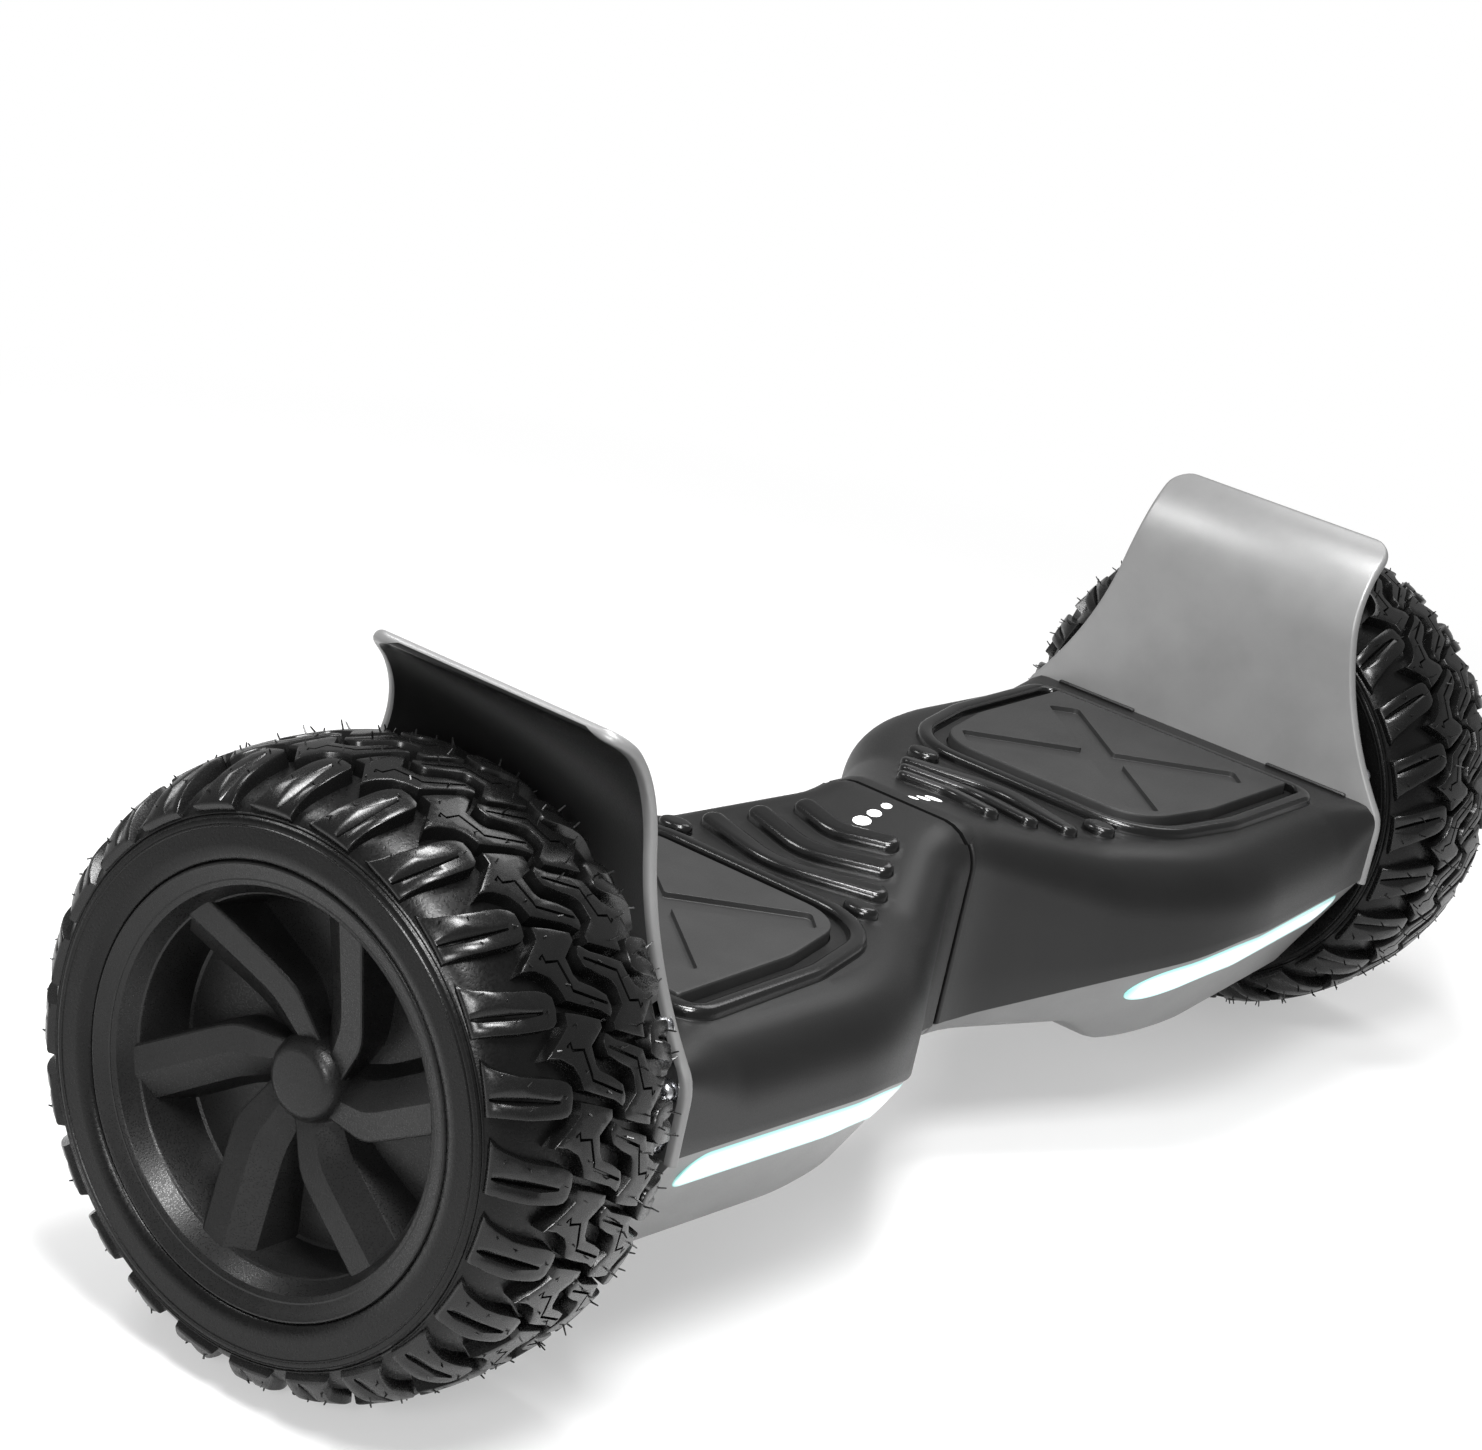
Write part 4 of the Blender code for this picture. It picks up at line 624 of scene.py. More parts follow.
def deck_stations():
    near = [SEAM + SEAM_ROUND * share for share in SEAM_SHARES]
    start = near[-1]
    count = math.ceil((DECK_END - start) / GRID)
    return near + [start + (DECK_END - start) * i / count for i in range(1, count + 1)]


def deck_point(p, height):
    """A point on the top of the deck, above its plan, lifted by a height."""
    depth = half_depth(p.x) - seam_round(p.x)
    fillet = top_fillet(p.x)
    over = abs(p.y) - (depth - fillet)
    drop = fillet - math.sqrt(max(0, fillet ** 2 - over ** 2)) if over > 0 else 0
    return (p.x, p.y, slope_z(p.x) - seam_round(p.x) - drop + height)


def wall_points(x):
    """The side of the top cover at one station, from the top patch down to its lower edge, at +Y."""
    depth = half_depth(x) - seam_round(x)
    top = slope_z(x) - seam_round(x)
    fillet = top_fillet(x)
    low = edge_z(x)
    line = []
    for i in range(7):
        angle = FLAT_ARC + (math.pi / 2 - FLAT_ARC) * i / 6
        line.append((x, depth - fillet + fillet * math.sin(angle), top - fillet + fillet * math.cos(angle)))
    start = top - fillet
    line += [(x, depth, start + (low + RIM_ROUND - start) * share) for share in (0.35, 0.7, 1.0)]
    line += [(x, depth - 0.3 * RIM_ROUND, low + 0.3 * RIM_ROUND), (x, depth - RIM_ROUND, low)]
    return line


def pad_outline(offset, end, corner, segments=8):
    """Outline of the foot pad or its frame, grown by an offset and by end at the fender."""
    slant = Vector((PAD_CUT_X - PAD_INNER, PAD_HALF_DEPTH - PAD_CUT_HALF_DEPTH)).normalized()
    shift = offset * (1 - slant.x) / slant.y
    drop = offset * (1 - slant.y) / slant.x
    half = [(PAD_INNER - offset, 0), (PAD_INNER - offset, PAD_CUT_HALF_DEPTH + drop),
            (PAD_CUT_X - shift, PAD_HALF_DEPTH + offset), (PAD_OUTER + end, PAD_HALF_DEPTH + offset),
            (PAD_OUTER + end, 0)]
    radii = [PAD_NOSE + offset, PAD_CUT_BEND + offset, corner]
    return both_sides(rounded(half, radii, segments)[1:-1])


# Inset from the rib's edge and height, in millimetres
RIB_PROFILE = ((-0.6, 0.0), (-0.2, 0.16), (0.0, 0.7), (0.12, 1.9), (0.42, 2.9), (1.0, 3.55), (1.9, 3.92),
               (2.9, 4.0))


def chevron(index, width):
    x = CHEVRON_FIRST + index * CHEVRON_PITCH
    span = CHEVRON_FIRST_SPAN + index * CHEVRON_SPAN_STEP
    bend = rounded([(x, span), (x + span * CHEVRON_SWEEP, 0), (x, -span)], [span], 8)
    return band(bend, width)


def rib_loops():
    """Height lines of the chevrons, studs and border rib; the first of each rib is its foot."""
    ribs = []
    for index in range(3):
        ribs.append([(chevron(index, CHEVRON_WIDTH - 2 * inset * MM), height * MM)
                     for inset, height in RIB_PROFILE])
    for side in (1, -1):
        stud = []
        for inset, height in RIB_PROFILE:
            short = STUD_WIDTH / 2 - inset * MM
            long = STUD_LENGTH / 2 - inset * MM
            stud.append((circle(STUD_X, side * STUD_Y, short, 40, long / short), height * MM))
        ribs.append(stud)
    frame_rib = []
    for inset, height in RIB_PROFILE:
        width = RIB_WIDTH - inset * MM
        frame_rib.append((pad_outline(GROOVE_WIDTH + width, width, RIB_CORNER), height * MM))
    for step, (inset, height) in enumerate(reversed(RIB_PROFILE)):
        end = FIT + (0.1 + 0.08 * (len(RIB_PROFILE) - step)) * MM
        frame_rib.append((pad_outline(GROOVE_WIDTH + inset * MM, end, PAD_CORNER), height * MM))
    ribs.append(frame_rib)
    return ribs


def top_cover_shape():
    shape = Shape()
    xs = deck_stations()
    rim = [Vector((x, half_depth(x) - seam_round(x) - top_fillet(x) * (1 - math.sin(FLAT_ARC)))) for x in xs]

    def across(x, limit):
        count = math.ceil(2 * limit / GRID)
        return [Vector((x, limit - 2 * limit * i / count)) for i in range(1, count)]
    border = rim + across(xs[-1], rim[-1].y) + [Vector((p.x, -p.y)) for p in reversed(rim)]
    border += across(xs[0], rim[0].y)[::-1]
    ribs = rib_loops()
    hole = pad_outline(FIT, FIT, PAD_END_CORNER)
    dots = [circle(x, 0, r + 0.1 * MM, 32) for x, r in DOTS]
    loops = [(border, 0.0), (hole, 0.0)] + [(dot, 0.0) for dot in dots]
    holes = range(1, 2 + len(dots))
    loops += [height_line for rib in ribs for height_line in rib]
    feet = [grown(rib[0][0], RIB_CLEAR) for rib in ribs] + [grown(hole, RIB_CLEAR)]
    feet += [grown(dot, DOT_CLEAR) for dot in dots]
    spots = []
    for x in xs[len(SEAM_SHARES):-1]:
        limit = half_depth(x) - top_fillet(x) * (1 - math.sin(FLAT_ARC)) - EDGE_CLEAR
        count = math.ceil(2 * limit / GRID)
        for i in range(count + 1):
            spot = Vector((x, limit - 2 * limit * i / count))
            if not any(inside(foot, spot) for foot in feet):
                spots.append((spot, 0.0))
    shape.patch(loops, spots, deck_point, holes, RIB_GLOSS_HEIGHT)
    walls = [wall_points(x) for x in xs]
    for side in (1, -1):
        rows = [shape.row([(x, side * y, z) for x, y, z in wall]) for wall in walls]
        for low, high in zip(rows, rows[1:]):
            shape.bridge(low, high, closed=False)
    for x, station, gap in ((xs[0], walls[0], None), (xs[-1], walls[-1], AXLE_SLOT)):
        half = [Vector((y, z)) for _, y, z in station]
        limit = half[0].x
        count = math.ceil(2 * limit / GRID)
        crown = []
        for i in range(count + 1):
            y = -limit + 2 * limit * i / count
            crown.append(Vector((y, deck_point(Vector((x, y)), 0)[2])))
        section = [Vector((-p.x, p.y)) for p in reversed(half)] + crown[1:-1] + half
        if gap:
            section += [Vector((gap, half[-1].y))]
            section += [Vector((gap * math.cos(a), AXLE_Z + gap * math.sin(a)))
                        for a in (math.pi * k / 16 for k in range(17))]
            section += [Vector((-gap, half[-1].y))]
            shape.patch([(section, 0.0)], [], lambda p, tag: (x, p.x, p.y))
        else:
            boss = circle(0, AXLE_Z, BOSS_HOLE, 48)
            shape.patch([(section, 0.0), (boss, 0.0)], [], lambda p, tag: (x, p.x, p.y), (1,))
    return shape


def block_shape(x0, x1, y0, y1, z0, z1, bevel):
    """A closed block with chamfered edges."""
    shape = Shape()
    rings = []
    for x, inset in ((x0, bevel), (x0 + bevel, 0), (x1 - bevel, 0), (x1, bevel)):
        loop = []
        corners = ((y0, z0, 1, 1), (y1, z0, -1, 1), (y1, z1, -1, -1), (y0, z1, 1, -1))
        for k, (y, z, sy, sz) in enumerate(corners):
            near = (x, y + sy * inset, z + sz * (bevel + inset))
            far = (x, y + sy * (bevel + inset), z + sz * inset)
            loop += [near, far] if k % 2 == 0 else [far, near]
        rings.append(loop)
    shape.loft(rings)
    return shape


def cross_outline(length, width):
    """Outline of the X recess in the foot pad."""
    corners = []
    radii = []
    arms = (GRIP_ANGLE, math.pi - GRIP_ANGLE, math.pi + GRIP_ANGLE, math.tau - GRIP_ANGLE,
            math.tau + GRIP_ANGLE)
    for angle, after in zip(arms, arms[1:]):
        along = Vector((math.cos(angle), math.sin(angle)))
        across = Vector((-along.y, along.x))
        half = (after - angle) / 2
        middle = Vector((math.cos(angle + half), math.sin(angle + half)))
        corners += [along * length - across * width, along * length + across * width,
                    middle * (width / math.sin(half))]
        radii += [GRIP_END_ROUND, GRIP_END_ROUND, GRIP_CROTCH_ROUND]
    return [p + Vector((GRIP_X, 0)) for p in rounded_loop(corners, radii)]


# Growth of the X outline and height from the pad's top, in millimetres
RECESS_PROFILE = ((1.0, 0.0), (0.12, 0.0), (0.0, -0.10), (-0.12, -2.0), (-0.3, -2.2), (-1.2, -2.2))


def foot_pad_shape():
    shape = Shape()
    wall = [(PAD_FLANGE, PAD_LOW), (PAD_FLANGE, PAD_UNDER), (-FIT, PAD_UNDER), (-FIT, PAD_TOP - 1.1 * MM),
            (-FIT - 0.1 * MM, PAD_TOP - 0.55 * MM), (-FIT - 0.35 * MM, PAD_TOP - 0.16 * MM),
            (-FIT - 0.8 * MM, PAD_TOP)]
    rings = [[(p.x, p.y, z) for p in pad_outline(offset, offset, PAD_END_CORNER)] for offset, z in wall]
    shape.loft(rings, ends=False)
    shape.face(range(len(rings[0]))[::-1])
    edge = pad_outline(wall[-1][0], wall[-1][0], PAD_END_CORNER)
    loops = [(edge, 0.0), (pad_outline(-2.0 * MM, -2.0 * MM, PAD_END_CORNER), 0.0)]
    for grow, depth in RECESS_PROFILE:
        loops.append((cross_outline(GRIP_HALF_LENGTH + grow * MM, GRIP_HALF_WIDTH + grow * MM), depth * MM))
    shape.patch(loops, [], lambda p, depth: (p.x, p.y, PAD_TOP + depth))
    for side in (1, -1):
        ring = circle(PAD_MIDDLE, side * PAD_CUT_HALF_DEPTH / 2, PAD_STEM, 16)
        shape.loft([[(p.x, p.y, z) for p in ring] for z in (STEM_LOW, PAD_LOW - 0.05 * MM)])
    return shape


def indicator_shape():
    """Three lit posts that end flush with the top of the waist."""
    shape = Shape()
    for x, r in DOTS:
        rings = []
        for inset, height in ((0.0, -DOT_DEPTH), (0.0, -0.05 * MM), (0.2 * MM, 0.0), (0.6 * MM, 0.03 * MM)):
            rings.append([deck_point(p, height) for p in circle(x, 0, r - inset, 32)])
        shape.loft(rings)
    return shape


def belly_half(x):
    """Half section of the bottom shell at one station: rim, leaning flank, round turn and belly."""
    depth = half_depth(x) - EDGE_STEP - seam_round(x)
    edge = edge_z(x) - FIT
    low = belly_z(x) + seam_round(x)
    foot = depth - FLANK_LEAN * (edge - low)
    return rounded([(depth, edge), (foot, low), (0, low)], [BELLY_FILLET], 8)


def bottom_cover_shape():
    shape = Shape()
    rows = []
    for x in deck_stations():
        half = belly_half(x)
        flank = [half[0].lerp(half[1], share) for share in (0, 0.02, 0.2, 0.4, 0.6, 0.8)]
        line = flank + half[1:-1]
        ring = [(x, p.x, p.y) for p in line] + [(x, 0, half[-1].y)] + [(x, -p.x, p.y) for p in reversed(line)]
        rows.append(shape.row(ring))
    for low, high in zip(rows, rows[1:]):
        shape.bridge(low, high, closed=False)
    shape.face(rows[0])
    shape.face(rows[-1])
    return shape


def flank_point(x, z, depth):
    """A point on the front flank of the bottom shell, a depth outwards from its surface."""
    steep = math.hypot(1, FLANK_LEAN)
    y = half_depth(x) - EDGE_STEP - FLANK_LEAN * (edge_z(x) - FIT - z)
    return (x, -(y + depth / steep), z - depth * FLANK_LEAN / steep)


# Place from edge to edge, height over the flank, and nearness to the rim
LENS_FRONT = ((1, 0, 1), (0.9, 0.8 * LENS_PROUD, 0.8), (0.7, LENS_PROUD, 0.45), (0.45, LENS_PROUD, 0.1))
LENS_SECTION = (((1, -LENS_THICK, 1),) + LENS_FRONT + ((0, LENS_PROUD, 0),)
                + tuple((-place, depth, rim) for place, depth, rim in reversed(LENS_FRONT))
                + ((-1, -LENS_THICK, 1),))


def lens_shape():
    """The headlight blade with round ends; rim tells how near the edge a point is."""
    shape = Shape()
    steps = 48
    rings = []
    rims = []
    for i in range(steps + 1):
        share = (1 - math.cos(math.pi * i / steps)) / 2
        x = LENS_INNER + (LENS_OUTER - LENS_INNER) * share
        near_end = max(0, 1 - (x - LENS_INNER) / LENS_INNER_ROUND,
                       1 - (LENS_OUTER - x) / LENS_OUTER_ROUND)
        tall = max(LENS_TIP, math.sqrt(max(0, 1 - near_end ** 2))) * LENS_HEIGHT / 2
        middle = edge_z(x) - LENS_DROP
        ring = []
        for place, depth, rim in LENS_SECTION:
            ring.append(flank_point(x, middle + place * tall, depth))
            rims.append(max(rim, near_end ** 2))
        rings.append(ring)
    shape.loft(rings)
    return shape, rims


def tail_shape():
    """Tail light bar that follows the rear wall of the waist, with a rounded face."""
    shape = Shape()
    rings = []
    steps = 16
    for i in range(steps + 1):
        x = TAIL_INNER + (TAIL_OUTER - TAIL_INNER) * i / steps
        wall = half_depth(x)
        face = TAIL_PROUD - (TAIL_ROUND if i in (0, steps) else 0)
        section = ((-TAIL_BACK, 0), (face - TAIL_ROUND, 0), (face, TAIL_BEVEL),
                   (face, TAIL_HEIGHT - TAIL_BEVEL), (face - TAIL_ROUND, TAIL_HEIGHT),
                   (-TAIL_BACK, TAIL_HEIGHT))
        rings.append([(x, wall + out, AXLE_Z + up) for out, up in section])
    shape.loft(rings)
    return shape


# Fender

def fender_line():
    """Centre line of the fender in (x, z, lean): upright plate, then a flare over the tyre."""
    base = EDGE_Z - FENDER_OVERHANG
    start = AXLE_Z + FENDER_STRAIGHT
    rise = FENDER_RISE - FENDER_STRAIGHT
    sweep = 2 * math.atan2(FENDER_FLARE, rise)
    radius = rise / math.sin(sweep)
    line = [(FENDER_X, base + FENDER_FOOT + (start - base) * i / PLATE_STEPS, 0.0) for i in range(PLATE_STEPS)]
    for step in (*range(FLARE_STEPS), *LIP_STEPS):
        share = step / FLARE_STEPS
        angle = sweep * (1 - (1 - share) ** FENDER_ROLL)
        line.append((FENDER_X + radius * (1 - math.cos(angle)), start + radius * math.sin(angle), angle))
    return line


def fender_half_width(z, left):
    """Half width of the fender at a height; left is the distance to the lip along the plate."""
    broad = END_HALF_DEPTH + FENDER_OVERHANG
    shoulder = AXLE_Z + FENDER_SWEEP_RISE
    if z < shoulder:
        corner = max(0, z - (shoulder - END_FILLET)) / END_FILLET
        return broad - FENDER_TUCK * corner ** 2
    share = (z - shoulder) / (FENDER_RISE - FENDER_SWEEP_RISE)
    narrow = FENDER_LIP + (broad - FENDER_TUCK - FENDER_LIP) * max(0, 1 - share) ** FENDER_TAPER
    if left < FENDER_CORNER:
        narrow -= FENDER_CORNER - math.sqrt(max(0, FENDER_CORNER ** 2 - (FENDER_CORNER - left) ** 2))
    return narrow


def fender_shape():
    shape = Shape()
    line = fender_line()
    lengths = [math.hypot(b[0] - a[0], b[1] - a[1]) for a, b in zip(line, line[1:])]
    radius = FENDER_BEAD / 2
    rows = []
    for i, (x, z, lean) in enumerate(line):
        left = sum(lengths[i:])
        half = fender_half_width(z, left)
        end = max(0, radius - left) / radius
        thin = math.sqrt(max(0, 1 - end ** 2))
        bead = max(0, 1 - left / FENDER_BORDER)
        thick = FENDER_THICK - FENDER_RECESS
        plate = radius + (thick - radius + (FENDER_BEAD - thick) * bead) * thin
        arc = [(half - radius + radius * math.sin(a), radius - radius * math.cos(a) * thin)
               for a in (math.pi * k / 8 for k in range(9))]
        inner = [(half - FENDER_BORDER + FENDER_STEP, radius + radius * thin), (half - FENDER_BORDER, plate)]
        flank = arc + inner
        section = flank + [(-y, out) for y, out in reversed(flank)]
        ring = []
        for y, out in section:
            ring.append((x + math.cos(lean) * out, y, z - math.sin(lean) * out))
        rows.append(shape.row(ring))
    count = len(rows[0])
    recess = range(len(arc), len(arc) + len(inner) + 1)
    for low, high in zip(rows, rows[1:]):
        for k in range(count):
            m = (k + 1) % count
            shape.face((low[k], low[m], high[m], high[k]), 1 if k in recess else 0)
    shape.face(rows[0][::-1])
    shape.face(rows[-1])
    return shape


# Shares of the head's radius and height
SCREW_HEAD = ((1.25, 0.0), (1.25, 0.08), (1.0, 0.1), (1.0, 0.45), (0.9, 0.75), (0.7, 0.92), (0.5, 1.0))
SCREW_SOCKET = ((0.42, 0.98), (0.40, 0.5))


def screw_shape(x, y, z, radius, height):
    """Dome-headed screw with a hexagon socket, its head standing out along X."""
    shape = Shape()
    rings = []
    for wide, share in SCREW_HEAD:
        rings.append([(x + height * share, y + p.x, z + p.y) for p in circle(0, 0, radius * wide, 24)])
    for wide, share in SCREW_SOCKET:
        r = radius * wide
        loop = []
        for k in range(24):
            angle = math.tau * k / 24
            flat = math.cos(math.pi / 6) / math.cos((angle % (math.pi / 3)) - math.pi / 6)
            loop.append((x + height * share, y + r * flat * math.cos(angle),
                         z + r * flat * math.sin(angle)))
        rings.append(loop)
    shape.loft(rings)
    return shape


def merged(shapes):
    whole = Shape()
    for shape in shapes:
        start = len(whole.points)
        whole.points += shape.points
        for corners, look in zip(shape.faces, shape.looks):
            whole.face([i + start for i in corners], look)
    return whole


# Wheel cover

def spoke_edge(side):
    lean = math.radians(SPOKE_HUB_LEAN + side * SPOKE_HUB_SPREAD)
    return [Vector((SPOKE_HUB_RADIUS * math.cos(lean), SPOKE_HUB_RADIUS * math.sin(lean))),
            Vector((SPOKE_KINK - side * SPOKE_KINK_SKEW, SPOKE_KINK_OFFSET + side * SPOKE_HALF_WIDTH)),
            Vector((SPOKE_OUTER_RADIUS, SPOKE_END_OFFSET + side * SPOKE_HALF_WIDTH))]


def soft_line(points, count):
    """A polyline of three points with its middle corner drawn as a curve."""
    first, middle, last = points
    line = []
    for i in range(count + 1):
        share = i / count
        if share < 0.5:
            line.append(first.lerp(middle, share * 2))
        else:
            line.append(middle.lerp(last, share * 2 - 1))
    for _ in range(2):
        line = [line[0]] + [(a + b * 2 + c) / 4 for a, b, c in zip(line, line[1:], line[2:])] + [line[-1]]
    return line


def spoke_shape(index):
    """One kinked spoke that rises to the rim: flat top, a broad facet and a skirt on its trailing side."""
    shape = Shape()
    turn = math.radians(SPOKE_ANGLE + 360 / SPOKES * index)
    count = 16
    lead = soft_line([Vector((p.x, p.y, level)) for p, level in zip(spoke_edge(1), SPOKE_LEVELS)], count)
    trail = soft_line([Vector((p.x, p.y, level)) for p, level in zip(spoke_edge(-1), SPOKE_LEVELS)], count)
    foot = DISH_FLOOR_X - SPOKE_SUNK
    rings = []
    for a, b in zip(lead, trail):
        across = (Vector((b.x, b.y)) - Vector((a.x, a.y))).normalized() * SPOKE_CHAMFER
        ridge = a.lerp(b, SPOKE_FLAT)
        low = b.z - SPOKE_DROP
        section = [(a.x, a.y, foot), (a.x, a.y, a.z - SPOKE_CHAMFER),
                   (a.x + 0.35 * across.x, a.y + 0.35 * across.y, a.z - 0.3 * SPOKE_CHAMFER),
                   (a.x + across.x, a.y + across.y, a.z),
                   (ridge.x - across.x * 0.3, ridge.y - across.y * 0.3, ridge.z),
                   (ridge.x + across.x * 0.3, ridge.y + across.y * 0.3, ridge.z - 0.25 * SPOKE_CHAMFER),
                   (b.x - 0.3 * across.x, b.y - 0.3 * across.y, low), (b.x, b.y, low - 0.5 * SPOKE_CHAMFER),
                   (b.x, b.y - SPOKE_SKIRT, foot)]
        rings.append([(x, u * math.cos(turn) - v * math.sin(turn),
                       AXLE_Z + u * math.sin(turn) + v * math.cos(turn)) for u, v, x in section])
    shape.loft(rings)
    return shape


# Distance behind the lip and radius: the dish wall, the broad chamfer, the inner rim and the lip
RIM_PROFILE = ((0.0100, 0.0602), (0.0094, 0.0605), (0.0089, 0.0611), (0.0040, 0.0640), (0.0031, 0.0645),
               (0.0026, 0.0652), (0.0009, 0.0697), (0.0003, 0.0711), (0.0, 0.0716), (0.0001, 0.0721),
               (0.0006, LIP_RADIUS), (0.0020, LIP_RADIUS), (0.0020, COVER_SEAT))
DISH_FOOT = ((0.0, 0.0560), (0.0006, 0.0570))


def wheel_cover_shape():
    dish = Shape()
    face = [(DISH_FLOOR_X, DISH_INNER)]
    face += [(DISH_FLOOR_X + rise, radius) for rise, radius in DISH_FOOT]
    face += [(LIP_X - back, radius) for back, radius in RIM_PROFILE]
    face += [(COVER_BACK_X, COVER_SEAT), (COVER_BACK_X, DISH_INNER)]
    dish.turned(face, WHEEL_ROUND)
    boss = Shape()
    foot = DISH_FLOOR_X - SPOKE_SUNK
    nose = [(foot, 0.0), (foot, BOSS_RADIUS - 0.4 * MM), (BOSS_WIDEST_X - 1.0 * MM, BOSS_RADIUS)]
    for i in range(13):
        angle = math.pi / 2 * i / 12
        nose.append((BOSS_WIDEST_X + (BOSS_FACE_X - BOSS_WIDEST_X) * math.sin(angle),
                     BOSS_FACE_RADIUS + (BOSS_RADIUS - BOSS_FACE_RADIUS) * math.cos(angle)))
    nose.append((BOSS_FACE_X, 0.0))
    boss.turned(nose, 72)
    return merged([dish, boss] + [spoke_shape(i) for i in range(SPOKES)])


# Tyre

def carcass(w):
    """Radius of the tyre body at a distance from its mid-plane, and the outward normal there."""
    crown = TYRE_RADIUS - TREAD_DEPTH

    def radius(a):
        rise = max(0, 1 - abs(a / TYRE_HALF_WIDTH) ** CROWN_POWER) ** (1 / CROWN_POWER)
        return SIDEWALL_RADIUS + (crown - SIDEWALL_RADIUS) * rise
    near = TYRE_HALF_WIDTH * 1e-3
    slope = (radius(w + near) - radius(w - near)) / (2 * near)
    steep = math.hypot(1, slope)
    return radius(w), -slope / steep, 1 / steep


def tread_point(w, degrees, height):
    """A point on the tread; degrees run from the top of the wheel towards the front."""
    radius, lean, up = carcass(w)
    angle = math.radians(degrees)
    reach = radius + height * up
    return (TYRE_X + w + height * lean, -reach * math.sin(angle), AXLE_Z + reach * math.cos(angle))


MM_PER_DEGREE = 1.78
CROWN_SHIFT = 2
CROWN_EDGE = 25
tread_height = reader([(0, 0.0055), (0.025, 0.0051), (0.035, 0.0042), (0.0425, 0.0022)])


def crown_shift(w):
    """Crown points lie a little further out than they look from the front."""
    return w + CROWN_SHIFT * (1 - w / CROWN_EDGE) if w < CROWN_EDGE else w


# Lugs of one pitch of the tread: distance from the mid-plane in millimetres, degrees round the tyre
SHOULDER_LUG = ((18.9, 22.9), (18.9, 25.0), (19.9, 27.0), (21.5, 27.7), (23.9, 27.8), (28.3, 27.5),
                (32.8, 27.1), (37.2, 26.4), (42.1, 25.55), (41.7, 15.05), (40.8, 16.3), (39.0, 17.4),
                (34.6, 19.1), (30.1, 20.05), (26.1, 20.7), (23.0, 21.3), (20.5, 22.0))
SHOULDER_SLOT = ((24.5, 24.9), (41.2, 22.3))
SHOULDER_HAIRS = ((21.8, 24.6), (33.0, 25.2), (33.0, 20.9), (38.5, 18.6))
HOOK_LUG = ((26.8, 17.6), (25.2, 17.55), (21.7, 18.1), (17.2, 19.8), (15.0, 21.8), (13.7, 24.2),
            (9.2, 25.3), (-0.1, 27.4), (-4.1, 28.9), (-5.6, 28.3), (-6.0, 27.3), (-5.0, 25.3), (-0.1, 23.5),
            (5.7, 21.8), (7.2, 20.5), (7.5, 18.5), (7.7, 17.5), (1.2, 15.2), (1.2, 13.8), (9.2, 12.1),
            (15.7, 10.9), (16.0, 13.1))
HOOK_SIPE = ((-4.0, 26.6), (9.7, 23.0), (9.9, 22.0), (11.7, 17.65), (16.5, 17.2), (16.8, 15.9), (18.1, 16.4))
HOOK_HAIRS = ((22.5, 16.6), (12.5, 13.2), (12.0, 21.5), (2.5, 25.6))
SHOULDER_SLOT_WIDTH = 1.1
HOOK_SIPE_WIDTH = 1.0

# Lug section in millimetres: growth of the outline, with height over the tyre body or over the lug's top
LUG_FOOT = ((0.75, -0.8), (0.45, 0.25))
LUG_EDGE = ((0.05, -0.55), (-0.12, -0.16), (-0.5, 0.0))
LUG_FOOT_LIMIT = 43.6
LUG_TOP_LIMIT = 43.2
LUG_STEP = 2.2
LUG_GRID = 2.4
LUG_GRID_COUNT = 24
CUT_DEPTH = 2.4
CUT_TAPER = 0.62
SHORT_HAIR = (0.5, 1.3)
LONG_HAIR = (1.5, 3.2)
HAIR_TILT = 1.2
HAIR_SWING = 0.7


def to_sheet(points):
    """Measured (outward, degrees) points as lengths on the unrolled tread."""
    return [Vector((crown_shift(w), degrees * MM_PER_DEGREE)) for w, degrees in points]


def lug_shape(outline, cut, width, side, turn):
    """One tread lug with a narrow cut in its top; side -1 makes the twin on the other half of the tread."""
    shape = Shape()

    def place(p, limit):
        w = p.x
        degrees = p.y / MM_PER_DEGREE
        if side < 0:
            w = -w
            degrees = TREAD_MIRROR - degrees
        return max(-limit, min(limit, w)) * MM, degrees + turn

    def put(p, drop):
        w, degrees = place(p, LUG_TOP_LIMIT)
        return tread_point(w, degrees, tread_height(abs(w)) + drop * MM)

    def foot(p, lift):
        w, degrees = place(p, LUG_FOOT_LIMIT)
        return tread_point(w, degrees, lift * MM)

    base = spaced(to_sheet(outline), LUG_STEP)
    if area(base) < 0:
        base.reverse()
    rows = [shape.row([foot(p, lift) for p in grown(base, grow)]) for grow, lift in LUG_FOOT]
    rows += [shape.row([put(p, drop) for p in grown(base, grow)]) for grow, drop in LUG_EDGE]
    for low, high in zip(rows, rows[1:]):
        shape.bridge(low, high)
    under, sunk = LUG_FOOT[0]
    shape.patch([(grown(base, under), 0.0)], [], lambda p, tag: foot(p, sunk))
    top = grown(base, LUG_EDGE[-1][0])
    path = to_sheet(cut)
    slot = [(band(path, width, 4), 0.0), (band(path, width * CUT_TAPER, 4), -CUT_DEPTH)]
    keep_out = band(path, width + 1.6, 4)
    room = grown(top, -0.8)
    low_x = min(p.x for p in top)
    low_y = min(p.y for p in top)
    spots = []
    for i in range(LUG_GRID_COUNT):
        for k in range(LUG_GRID_COUNT):
            spot = Vector((low_x + LUG_GRID * i, low_y + LUG_GRID * k))
            if inside(room, spot) and not inside(keep_out, spot):
                spots.append((spot, 0.0))
    shape.patch([(top, 0.0)] + slot, spots, put)
    return shape


# Share of a hair's length and its radius in millimetres
HAIR_PROFILE = ((0, 0.50), (0.15, 0.34), (0.9, 0.26), (1.0, 0.12))


